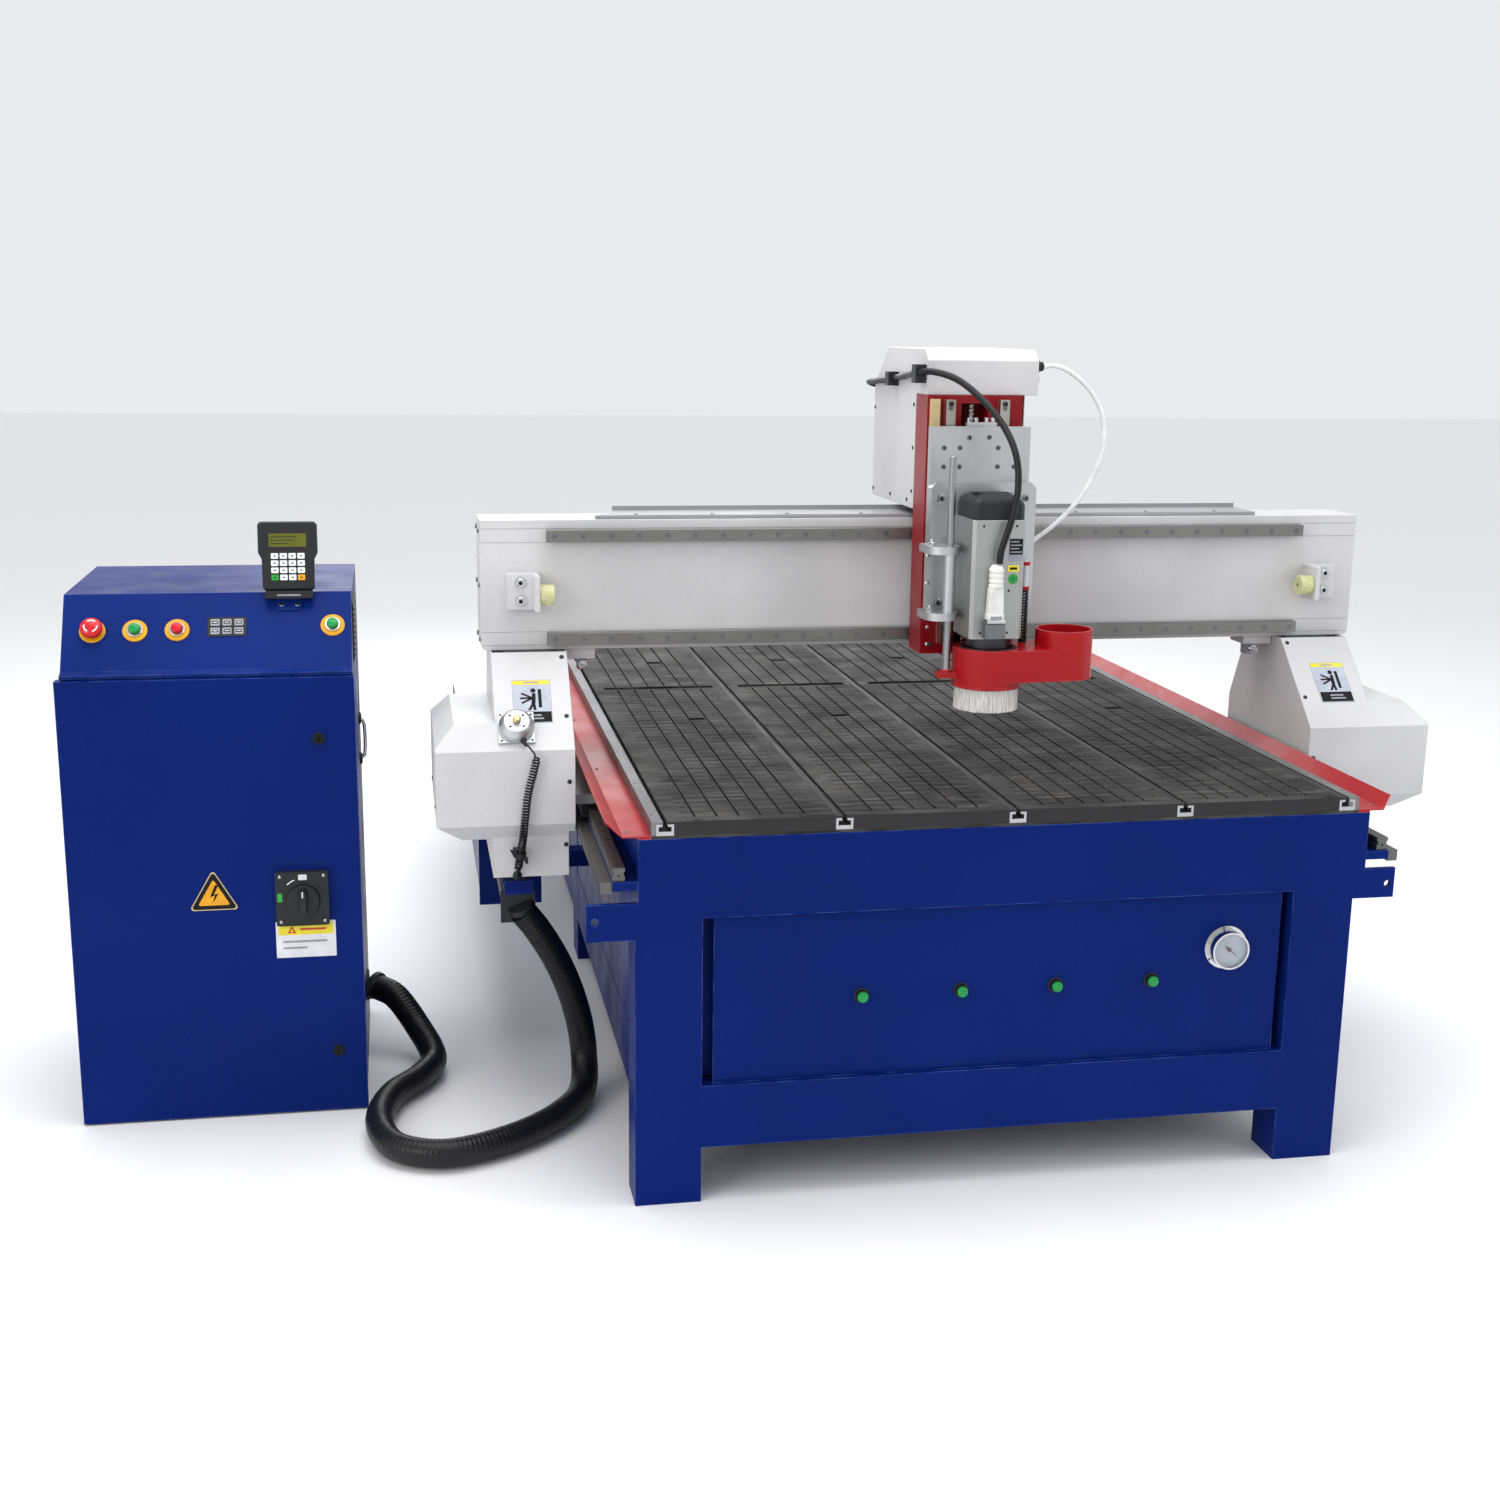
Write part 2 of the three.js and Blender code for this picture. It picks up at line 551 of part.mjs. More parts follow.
// ---------------------------------------------------------------- carriage and Z axis
function zColumn() {
  const left = AXIS_X - COLUMN_HALF;
  const right = AXIS_X + COLUMN_HALF;
  const top = HOOD_BOTTOM - 0.5;
  const slab = box(left, right, COLUMN_FRONT, COLUMN_BACK, COLUMN_BOTTOM, top);
  const channel = box(AXIS_X - 30, AXIS_X + 30, COLUMN_FRONT - 1, 562, COLUMN_BOTTOM + 16, top - 16);
  const rearPocket = [-1, 1].map((s) => box(
    AXIS_X + s * 44, AXIS_X + s * 96,
    COLUMN_FRONT + 22, COLUMN_BACK - 6,
    COLUMN_BOTTOM - 1, top - 14,
  ));
  const rails = [-1, 1].map((s) => box(
    AXIS_X + s * Z_RAIL_OFF - 10, AXIS_X + s * Z_RAIL_OFF + 10,
    COLUMN_FRONT - X_RAIL_PROUD, COLUMN_FRONT + 1,
    COLUMN_BOTTOM + 25, top - 8,
  ));
  const blocks = [];
  const railWays = [];
  for (const z of X_RAIL_Z) {
    for (const x of [AXIS_X - 93, AXIS_X + 33]) blocks.push(box(x, x + 60, COLUMN_BACK - 1, 617, z - 24, z + 24));
    railWays.push(box(left - 50, right + 50, GANTRY_FRONT - X_RAIL_PROUD - 0.8, 700, z - 13.1, z + 13.1));
  }
  const bores = union(
    cylinder("z", AXIS_X, 530, 7, COLUMN_BOTTOM + 6, COLUMN_BOTTOM + 20, 24),
    cylinder("z", AXIS_X, 530, 7, top - 20, top + 1, 24),
  );
  const body = slab.subtract(union(channel, ...rearPocket));
  return union(body, ...rails, ...blocks).subtract(union(bores, ...railWays));
}

function zScrew() {
  const thread = cylinder("z", AXIS_X, 530, 10, COLUMN_BOTTOM + 17, HOOD_BOTTOM - 18, 28);
  const journal = cylinder("z", AXIS_X, 530, 6.5, COLUMN_BOTTOM + 8, HOOD_BOTTOM + 2, 24);
  return union(thread, journal);
}

function zMotor() {
  const body = box(AXIS_X - 40, AXIS_X + 40, 522, 598, HOOD_BOTTOM + 4, HOOD_TOP - 20);
  const foot = box(AXIS_X - 52, AXIS_X + 52, 516, 598, HOOD_BOTTOM + 0.2, HOOD_BOTTOM + 5);
  return union(body, foot).subtract(cylinder("z", AXIS_X, 530, 7.5, HOOD_BOTTOM - 1, HOOD_BOTTOM + 5, 24));
}

function carriageCover() {
  const left = AXIS_X - COLUMN_HALF;
  const outline = (i) => [
    [508 + i, HOOD_BOTTOM - (i ? 1 : 0)], [508 + i, 1615 - i * 0.4], [531 + i * 0.4, HOOD_TOP - i],
    [833 - i * 0.4, HOOD_TOP - i], [COVER_BACK - i, 1550 - i * 0.4], [COVER_BACK - i, COVER_BOTTOM - (i ? 1 : 0)],
    [590 + i, COVER_BOTTOM - (i ? 1 : 0)], [590 + i, HOOD_BOTTOM - (i ? 1 : 0)],
  ];
  const outer = prism(outline(0), "x", left, HOOD_RIGHT);
  const inner = prism(outline(SHEET), "x", left + SHEET, HOOD_RIGHT - SHEET);
  // the sheet is open where the column and the X drive come through
  const passage = box(left + SHEET, HOOD_RIGHT - SHEET, 588, 596, COVER_BOTTOM - 1, HOOD_BOTTOM + 2);
  return outer.subtract(union(inner, passage));
}

function xMotor() {
  const bridge = box(AXIS_X - 70, AXIS_X + 70, COLUMN_BACK + GAP, 850, 1286.5, 1296);
  const gearbox = box(AXIS_X - 37, AXIS_X + 37, 762 + 2, 838, 1262, 1330);
  const motor = box(AXIS_X - 43, AXIS_X + 43, 757, 843, 1329, 1430);
  const bore = cylinder("z", AXIS_X, 799, 8, 1261, 1285, 24);
  return union(bridge, gearbox, motor).subtract(bore);
}

function xPinion() {
  const wheel = toothed("z", AXIS_X, 799, 1236, 1256, 18, PINION_R, PINION_R - 4.5);
  return union(wheel, cylinder("z", AXIS_X, 799, 6, 1250, 1280, 20));
}

function zPlate() {
  const back = box(AXIS_X - 110, AXIS_X + 106, Z_PLATE_FRONT, Z_PLATE_BACK, 1098, 1482);
  const corner = 12;
  const x0 = AXIS_X - 114;
  const x1 = AXIS_X + 114;
  const front = prism([
    [x0, 1096], [x1, 1096], [x1, 1369 - corner], [x1 - corner, 1369], [x0 + corner, 1369], [x0, 1369 - corner],
  ], "y", 415, Z_PLATE_FRONT + 1);
  const parts = [back, front];
  for (const s of [-1, 1]) {
    for (const z of [1130, 1380]) {
      const x = AXIS_X + s * Z_RAIL_OFF;
      parts.push(box(x - 20, x + 20, Z_PLATE_BACK - 1, 494, z, z + 80));
    }
  }
  const railWays = [-1, 1].map((s) => box(
    AXIS_X + s * Z_RAIL_OFF - 10.6, AXIS_X + s * Z_RAIL_OFF + 10.6,
    COLUMN_FRONT - X_RAIL_PROUD - 0.6, 520, 1000, 1500,
  ));
  const nut = box(AXIS_X - 19, AXIS_X + 19, Z_PLATE_BACK - 1, 552, 1412, 1470);
  const nutBore = cylinder("z", AXIS_X, 530, 10.6, 1400, 1480, 28);
  // lift guide for the dust shoe: two round-nosed brackets and a sleeve at the plate's left edge
  const brackets = [[1091, 1107], [1228, 1244]].map(([z0, z1]) => liftBracket(z0, z1));
  const sleeve = cylinder("z", ROD_X, AXIS_Y + 2, 12, 1103, 1232, 24);
  const rodBore = cylinder("z", ROD_X, AXIS_Y + 2, 6.2, 1080, 1260, 24);
  return union(...parts, nut, ...brackets, sleeve).subtract(union(nutBore, rodBore, ...railWays));
}

function spindleBody() {
  const half = SPINDLE_W / 2;
  const c = 7;
  const y0 = 300;
  const y1 = 415 - GAP;
  const section = (g) => [
    [AXIS_X - half + c + g, y0 + g], [AXIS_X + half - c - g, y0 + g], [AXIS_X + half - g, y0 + c + g],
    [AXIS_X + half - g, y1], [AXIS_X - half + g, y1], [AXIS_X - half + g, y0 + c + g],
  ];
  const body = prism(section(0), "z", SPINDLE_BOTTOM, SPINDLE_TOP);
  const cap = prism(section(3), "z", SPINDLE_TOP - 1, 1358);
  const nose = cylinder("z", AXIS_X, AXIS_Y, 46, 1036.5, SPINDLE_BOTTOM + 1, 48);
  const bore = cylinder("z", AXIS_X, AXIS_Y, 13, 1030, 1075, 28);
  const connector = box(AXIS_X - 26, AXIS_X + 14, 272, y0 + 1, 1062, 1208);
  return union(body, cap, nose, connector).subtract(bore);
}

function spindleRotor() {
  const shaft = cylinder("z", AXIS_X, AXIS_Y, 11.5, 1020, 1072, 28);
  const nut = cylinder("z", AXIS_X, AXIS_Y, 20, 1000, 1024, 12);
  const cutter = cylinder("z", AXIS_X, AXIS_Y, 3, 960, 1002, 12);
  return union(shaft, nut, cutter);
}

// Shelf with a half-round nose that the lift rod runs through.
function liftBracket(z0, z1) {
  const nose = 36;
  const centreX = ROD_X - 12;
  const points = [[centreX + nose, 416], [centreX - nose, 416]];
  for (let i = 0; i <= 12; i += 1) {
    const angle = Math.PI + (i / 12) * Math.PI;
    points.push([centreX + nose * Math.cos(angle), AXIS_Y + 18 + nose * Math.sin(angle)]);
  }
  return prism(points, "z", z0, z1);
}

// (x, y) outline round two circles: the tangents from the ring to the port
function armOutline(r0, x0, r1, x1) {
  const lean = Math.acos((r0 - r1) / (x1 - x0));
  const points = [];
  for (let i = 0; i <= 16; i += 1) {
    const angle = lean + (i / 16) * 2 * (Math.PI - lean);
    points.push([x0 + r0 * Math.cos(angle), AXIS_Y + r0 * Math.sin(angle)]);
  }
  for (let i = 0; i <= 12; i += 1) {
    const angle = -lean + (i / 12) * 2 * lean;
    points.push([x1 + r1 * Math.cos(angle), AXIS_Y + r1 * Math.sin(angle)]);
  }
  return points;
}

function dustShoe() {
  const top = SHOE_TOP;
  const cup = cylinder("z", AXIS_X, AXIS_Y, SHOE_R, SHOE_BOTTOM, top, 56);
  const cupHollow = cylinder("z", AXIS_X, AXIS_Y, SHOE_R - 6, SHOE_BOTTOM - 1, top - 6, 56);
  const mouth = cylinder("z", AXIS_X, AXIS_Y, 52, top - 8, top + 1, 48);
  const arm = prism(armOutline(SHOE_R, AXIS_X, 60, PORT_X), "z", 968, top);
  const armHollow = prism(armOutline(SHOE_R - 6, AXIS_X, 55, PORT_X), "z", 973, top - 6);
  const port = cylinder("z", PORT_X, AXIS_Y, 60, 968, 1070, 56);
  const portHollow = cylinder("z", PORT_X, AXIS_Y, 55, 973, 1071, 56);
  const tab = box(-70, AXIS_X - SHOE_R + 6, AXIS_Y - 14, AXIS_Y + 18, 971, 982);
  const rod = cylinder("z", ROD_X, AXIS_Y + 2, 5.5, 975, 1427, 20);
  return union(cup, arm, port, tab, rod).subtract(union(cupHollow, mouth, armHollow, portHollow));
}

function brushSkirt() {
  return ring("z", AXIS_X, AXIS_Y, 67, 58, 905, SHOE_BOTTOM - GAP, 56);
}

// ---------------------------------------------------------------- cabinet
function cabinetShell() {
  const left = CAB_LEFT + 9;
  const right = CAB_RIGHT - 3;
  const face = CAB_FRONT + DOOR_T + 2;
  const outer = prism([
    [face, 0], [CAB_BACK, 0], [CAB_BACK, CAB_TOP], SLOPE_HIGH, SLOPE_LOW,
    [CAB_FRONT + 14, DOOR_TOP + 8], [CAB_FRONT + 14, DOOR_TOP + 2], [face, DOOR_TOP + 2],
  ], "x", left, right);
  const inner = prism([
    [face - 1, 22], [CAB_BACK - 4, 22], [CAB_BACK - 4, CAB_TOP - 4], [SLOPE_HIGH[0] + 3, CAB_TOP - 4],
    [SLOPE_LOW[0] + 6, SLOPE_LOW[1] - 2], [SLOPE_LOW[0] + 6, DOOR_TOP - 22], [face - 1, DOOR_TOP - 22],
  ], "x", left + 4, right - 4);
  // leaning tongue that the handheld controller hangs on
  const tongue = prism([[690.5, 1117], [697, 1117], [712, 1190], [705.5, 1190]], "x", -1412, -1374);
  return union(outer.subtract(inner), tongue);
}

function driveRack() {
  const back = CAB_BACK - 4 - GAP;
  const plate = box(-1828, -1286, back - 4, back, 90, 880);
  const parts = [plate];
  for (let i = 0; i < 4; i += 1) {
    const x = -1800 + i * 78;
    parts.push(box(x, x + 50, back - 120, back - 3, 560, 710));
  }
  parts.push(box(-1470, -1310, back - 170, back - 3, 480, 760));
  parts.push(box(-1800, -1600, back - 90, back - 3, 200, 330));
  parts.push(box(-1560, -1330, back - 100, back - 3, 180, 380));
  return union(...parts);
}

function cabinetDoor() {
  const outer = box(CAB_LEFT, CAB_RIGHT, CAB_FRONT, CAB_FRONT + DOOR_T, 4, DOOR_TOP);
  const inner = box(CAB_LEFT + 3, CAB_RIGHT - 3, CAB_FRONT + 3, CAB_FRONT + DOOR_T + 1, 7, DOOR_TOP - 3);
  const isolator = box(-1439, -1331, CAB_FRONT - 14, CAB_FRONT + 1, 431, 548);
  return union(outer.subtract(inner), isolator);
}

function doorLock(x, z) {
  const head = cylinder("y", x, z, 11, CAB_FRONT - 7, CAB_FRONT - 0.4, 24);
  return head.subtract(box(x - 1.2, x + 1.2, CAB_FRONT - 8, CAB_FRONT - 4, z - 7, z + 7));
}

function isolatorKnob() {
  const x = -1383;
  const z = 486;
  const y = CAB_FRONT - 14.4;
  const disc = cylinder("y", x, z, 35, y - 10, y, 40);
  const grip = box(x - 9, x + 9, y - 30, y - 9, z - 30, z + 30);
  return union(disc, grip);
}

// A push button standing square to the sloped console; x across, s up the slope from its lower edge.
function consoleButton(x, s, profile, sides) {
  const run = SLOPE_HIGH[0] - SLOPE_LOW[0];
  const rise = SLOPE_HIGH[1] - SLOPE_LOW[1];
  const length = Math.hypot(run, rise);
  const points = profile.map(([r, h]) => new THREE.Vector2(r, h));
  points.push(points[0].clone());
  const geometry = new THREE.LatheGeometry(points, sides);
  geometry.rotateX(Math.PI / 2);
  geometry.rotateX(Math.atan2(rise, run));
  geometry.translate(x, SLOPE_LOW[0] + (run * s) / length, SLOPE_LOW[1] + (rise * s) / length);
  const solid = toSolid(geometry);
  return solid;
}

const HAND_TILT = (12 * Math.PI) / 180;

function handheld() {
  const shape = new THREE.Shape();
  const outline = [[-56, 0], [56, 0], [56, 108], [61, 120], [61, 162], [-61, 162], [-61, 120], [-56, 108]];
  shape.setFromPoints(outline.map(([a, b]) => new THREE.Vector2(a, b)));
  const geometry = new THREE.ExtrudeGeometry(shape, { depth: 26, bevelEnabled: false });
  geometry.rotateX(Math.PI / 2);
  geometry.rotateX(-HAND_TILT);
  geometry.translate(-1393, 688, 1122);
  return toSolid(geometry);
}

// ---------------------------------------------------------------- chain trough on the left side
function chainTrough() {
  const outer = box(-995, -860, 905, 2900, 350, 490);
  const inner = box(-992, -863, 904, 2901, 353, 491);
  const endPlate = box(-1000, -855, 900, 905.5, 345, 507);
  const tongue = box(-965, -905, 470, 903, 500, 505);
  const riser = box(-965, -905, 470, 475, 500, 530);
  const arms = [1000, 1900, 2800].map((y) => box(-861, -(BEAM_HALF + 2 * GAP - PANEL_SETBACK), y, y + 50, 400, 440));
  return union(outer.subtract(inner), endPlate, tongue, riser, ...arms);
}

// ---------------------------------------------------------------- cords
const CONDUIT_PATH = [
  [-1238, 917, 148], [-1203, 888, 137], [-1150, 826, 78], [-1118, 740, 36], [-1148, 640, 34], [-1212, 540, 34],
  [-1238, 400, 34], [-1200, 270, 34], [-1110, 226, 34], [-980, 272, 34], [-862, 380, 34], [-798, 510, 38],
  [-790, 570, 92], [-804, 560, 190], [-842, 535, 308], [-893, 505, 408], [-926, 494, 455],
];
const SETTER_CORD_PATH = [
  [-924, 417, 844], [-914, 408, 834], [-900, 401, 814], [-903, 402, 790], [-916, 403, 740], [-923, 404, 690],
  [-928, 410, 640], [-933, 424, 600], [-937, 437, 570], [-939, 440, 548],
];
const SPINDLE_CABLE_PATH = [
  [34, 282, 1216], [36, 281, 1240], [54, 281, 1300], [66, 282, 1360], [66, 296, 1425], [52, 340, 1485],
  [14, 400, 1545], [-24, 448, 1580], [-60, 480, 1592], [-80, 515, 1591], [-77, 640, 1580], [-77, 780, 1568],
  [-80, 900, 1560], [-76, 956, 1556], [-40, 970, 1545], [-8, 960, 1530],
];
const AIR_TUBE_PATH = [
  [196, 520, 1604], [215, 516, 1606], [249, 510, 1593], [292, 500, 1555], [316, 490, 1508], [320, 480, 1465],
  [312, 470, 1420], [290, 462, 1372], [258, 456, 1325], [210, 452, 1278], [158, 450, 1240],
];

// ---------------------------------------------------------------- assembly
addNode("front_frame", frontFrame(), ...BLUE);
addNode("rear_frame", endFrame(false), ...BLUE);
addNode("bed_deck", bedDeck(), ...BLUE);
addNode("vacuum_bed", vacuumBed(), ...DARK);
addNode("t_slot_tracks", tSlotTracks(), ...ALU);
for (const [suffix, side] of [["left", -1], ["right", 1]]) {
  addNode(`side_frame_${suffix}`, sideFrame(side), ...BLUE);
  addNode(`guard_${suffix}`, guard(side), ...RED);
  addNode(`y_rail_${suffix}`, yRail(side), ...STEEL);
  addNode(`y_rack_${suffix}`, yRack(side), ...STEEL);
  addNode(`gantry_leg_${suffix}`, gantryLeg(side), ...GREY);
  addNode(`leg_cover_${suffix}`, legCover(side), ...WHITE);
  addNode(`y_pinion_${suffix}`, yPinion(side), ...STEEL);
  addNode(`buffer_${suffix}`, buffer(side), 0xe8dc90, 0.4, 0.0);
}
addNode("vacuum_gauge", gaugeCase(), ...STEEL);
addNode("gauge_needle", gaugeNeedle(), ...BLACK);
[-300, -98, 98, 300].forEach((x, i) => addNode(`zone_button_${i + 1}`, zoneButton(x), 0x18a050, 0.35, 0.0));

addNode("gantry_beam", gantryBeam(), ...WHITE);
addNode("x_rail_lower", xRail(X_RAIL_Z[0]), ...STEEL);
addNode("x_rail_upper", xRail(X_RAIL_Z[1]), ...STEEL);
addNode("beam_shelf", beamShelf(), ...GREY);
addNode("tool_setter", toolSetter(), ...ALU);
addNode("setter_plunger", setterPlunger(), 0xc8a050, 0.3, 1.0);
addNode("setter_cord", cordSolid(SETTER_CORD_PATH, 18, 10, 24), ...BLACK);

addNode("z_column", zColumn(), ...RED);
addNode("z_screw", zScrew(), ...STEEL);
addNode("z_motor", zMotor(), ...BLACK);
addNode("carriage_cover", carriageCover(), ...WHITE);
addNode("x_motor", xMotor(), ...BLACK);
addNode("x_pinion", xPinion(), ...STEEL);
addNode("spindle_cable", cordSolid(SPINDLE_CABLE_PATH, 14, 8, 24), ...BLACK);
addNode("air_tube", cordSolid(AIR_TUBE_PATH, 10, 8, 20), 0xe4e4e6, 0.4, 0.0);

addNode("z_plate", zPlate(), ...ALU);
addNode("spindle_body", spindleBody(), ...ALU);
addNode("spindle_rotor", spindleRotor(), ...STEEL);
addNode("dust_shoe", dustShoe(), ...RED);
addNode("brush_skirt", brushSkirt(), ...WHITE);

const MUSHROOM = [[0, 8], [9, 8], [9, 18], [20, 20], [20, 27], [14, 33], [0, 34]];
const FLUSH_CAP = [[0, 8], [12.5, 8], [12.5, 16], [0, 17]];
addNode("cabinet_shell", cabinetShell(), ...BLUE);
addNode("drive_rack", driveRack(), ...GREY);
addNode("cabinet_door", cabinetDoor(), ...BLUE);
addNode("door_lock_upper", doorLock(-1339, 832), ...BLACK);
addNode("door_lock_lower", doorLock(-1322, 141), ...BLACK);
addNode("isolator_knob", isolatorKnob(), ...BLACK);
addNode("estop_button", consoleButton(-1788, 92, MUSHROOM, 32), 0xd01818, 0.35, 0.0);
addNode("start_button", consoleButton(-1704, 92, FLUSH_CAP, 28), 0x18a050, 0.35, 0.0);
addNode("stop_button", consoleButton(-1620, 92, FLUSH_CAP, 28), 0xd01818, 0.35, 0.0);
addNode("vacuum_button", consoleButton(-1305, 98, FLUSH_CAP, 28), 0x18a050, 0.35, 0.0);
addNode("handheld_controller", handheld(), ...BLACK);
addNode("chain_trough", chainTrough(), ...BLUE);
addNode("conduit", cordSolid(CONDUIT_PATH, 60, 12, 75), ...BLACK);

// The row's origin is the middle of the whole object's footprint, on the floor.
machine.position.set(-(CAB_LEFT + FOOT_OUT) / 2, -(FRAME_LENGTH - GAUGE_PROUD) / 2, 0);

const group = new THREE.Group();
group.name = "cnc_router";
group.add(machine);

export default group;
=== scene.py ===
"""Looks of a CNC router: camera, light, cords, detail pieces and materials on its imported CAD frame."""

import json
import random
from math import cos, pi, radians, sin

import bmesh
import bpy
from mathutils import Matrix, Vector

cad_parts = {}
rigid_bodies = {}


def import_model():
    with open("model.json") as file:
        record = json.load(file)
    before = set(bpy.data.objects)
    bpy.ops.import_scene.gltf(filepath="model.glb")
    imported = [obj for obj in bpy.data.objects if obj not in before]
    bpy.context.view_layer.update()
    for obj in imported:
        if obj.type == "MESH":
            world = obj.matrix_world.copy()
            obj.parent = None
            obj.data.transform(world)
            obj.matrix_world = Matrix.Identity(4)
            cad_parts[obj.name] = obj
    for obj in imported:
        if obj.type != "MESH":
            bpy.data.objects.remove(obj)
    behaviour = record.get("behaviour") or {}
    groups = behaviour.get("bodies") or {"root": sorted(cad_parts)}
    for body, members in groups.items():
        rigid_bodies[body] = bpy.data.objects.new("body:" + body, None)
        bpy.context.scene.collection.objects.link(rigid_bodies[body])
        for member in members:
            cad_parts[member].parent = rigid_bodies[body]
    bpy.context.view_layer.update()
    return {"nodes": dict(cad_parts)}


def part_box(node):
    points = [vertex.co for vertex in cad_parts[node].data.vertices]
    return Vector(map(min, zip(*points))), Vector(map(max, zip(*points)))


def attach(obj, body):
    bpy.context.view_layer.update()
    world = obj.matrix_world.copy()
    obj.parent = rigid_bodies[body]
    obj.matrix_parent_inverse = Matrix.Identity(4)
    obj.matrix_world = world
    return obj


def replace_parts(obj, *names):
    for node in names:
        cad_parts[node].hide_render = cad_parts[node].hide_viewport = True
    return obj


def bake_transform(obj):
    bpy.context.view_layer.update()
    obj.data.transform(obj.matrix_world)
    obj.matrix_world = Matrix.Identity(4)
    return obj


for left_over in list(bpy.data.objects):
    bpy.data.objects.remove(left_over)
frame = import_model()
random.seed(7)

# ------------------------------------------------------------------ machine axes, in millimetres
# x = 0 on the bed's centre line, y = 0 at the front face, z = 0 on the floor.
MM = 0.001
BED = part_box("vacuum_bed")
CENTRE_X = (BED[0].x + BED[1].x) / 2
FRONT_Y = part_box("front_frame")[0].y


def at(x, y, z):
    """A point in machine millimetres, in the row frame."""
    return Vector((CENTRE_X + x * MM, FRONT_Y + y * MM, z * MM))


def box_mm(node):
    """A CAD node's two corners in machine millimetres."""
    origin = Vector((CENTRE_X, FRONT_Y, 0))
    return [(corner - origin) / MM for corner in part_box(node)]


def middle_of(node):
    """A CAD node's middle in machine millimetres."""
    low, high = box_mm(node)
    return [(low[i] + high[i]) / 2 for i in range(3)]


def link(thing):
    bpy.context.scene.collection.objects.link(thing)


X, Y, Z = Vector((1, 0, 0)), Vector((0, 1, 0)), Vector((0, 0, 1))
SIDES = ((-1, "left"), (1, "right"))


# ------------------------------------------------------------------ camera, light and floor
def make_camera():
    yaw, pitch, roll = 0.1887, 0.2240, -0.0132
    ahead = Vector((sin(yaw) * cos(pitch), cos(yaw) * cos(pitch), -sin(pitch)))
    level = Vector((cos(yaw), -sin(yaw), 0))
    down = ahead.cross(level)
    right = cos(roll) * level + sin(roll) * down
    down = cos(roll) * down - sin(roll) * level
    data = bpy.data.cameras.new("camera")
    data.sensor_width = 36
    data.lens = 44.92
    data.clip_end = 100
    camera = bpy.data.objects.new("camera", data)
    turn = Matrix((right, -down, -ahead)).transposed().to_4x4()
    camera.matrix_world = Matrix.Translation(at(-1170, -3348, 1685)) @ turn
    link(camera)
    bpy.context.scene.camera = camera


def area_light(name, place, target, size, power, colour=(1, 1, 1)):
    data = bpy.data.lights.new(name, "AREA")
    data.shape = "RECTANGLE"
    data.size, data.size_y = size
    data.energy = power
    data.color = colour
    light = bpy.data.objects.new(name, data)
    light.location = place
    light.rotation_mode = "QUATERNION"
    light.rotation_quaternion = (Vector(target) - Vector(place)).to_track_quat("-Z", "Y")
    link(light)


def make_studio():
    world = bpy.data.worlds.new("studio")
    world.use_nodes = True
    background = world.node_tree.nodes["Background"]
    background.inputs["Color"].default_value = (0.98, 0.985, 1.0, 1)
    background.inputs["Strength"].default_value = 0.84
    bpy.context.scene.world = world
    area_light("top", (-0.5, -0.8, 4.6), (0.1, 0, 0.6), (4.5, 3.6), 140)
    area_light("front_left", (-4.0, -4.2, 2.6), (0, -0.2, 0.8), (2.6, 2.2), 66, (1, 0.98, 0.95))
    area_light("right", (4.2, -2.0, 2.4), (0.3, 0, 0.8), (2.0, 2.4), 36, (0.95, 0.97, 1))
    area_light("back", (0.5, 4.6, 3.0), (0, 0.6, 0.8), (4.0, 2.0), 50)
    mesh = bpy.data.meshes.new("floor")
    reach = 30
    corners = [(-reach, -reach, 0), (reach, -reach, 0), (reach, reach, 0), (-reach, reach, 0)]
    mesh.from_pydata(corners, [], [(0, 1, 2, 3)])
    floor = bpy.data.objects.new("floor", mesh)
    look = Look("floor_paint", (0.92, 0.92, 0.93), 0.6)
    look.roughness_from(look.noise(6), 0.55, 0.7)
    mesh.materials.append(look.material)
    link(floor)
    bpy.context.scene.view_settings.view_transform = "Standard"


# ------------------------------------------------------------------ materials
def rgb(hex_code):
    """A linear colour from an sRGB hex code."""
    parts = [int(hex_code[i : i + 2], 16) / 255 for i in (0, 2, 4)]
    return tuple(p / 12.92 if p < 0.04045 else ((p + 0.055) / 1.055) ** 2.4 for p in parts)


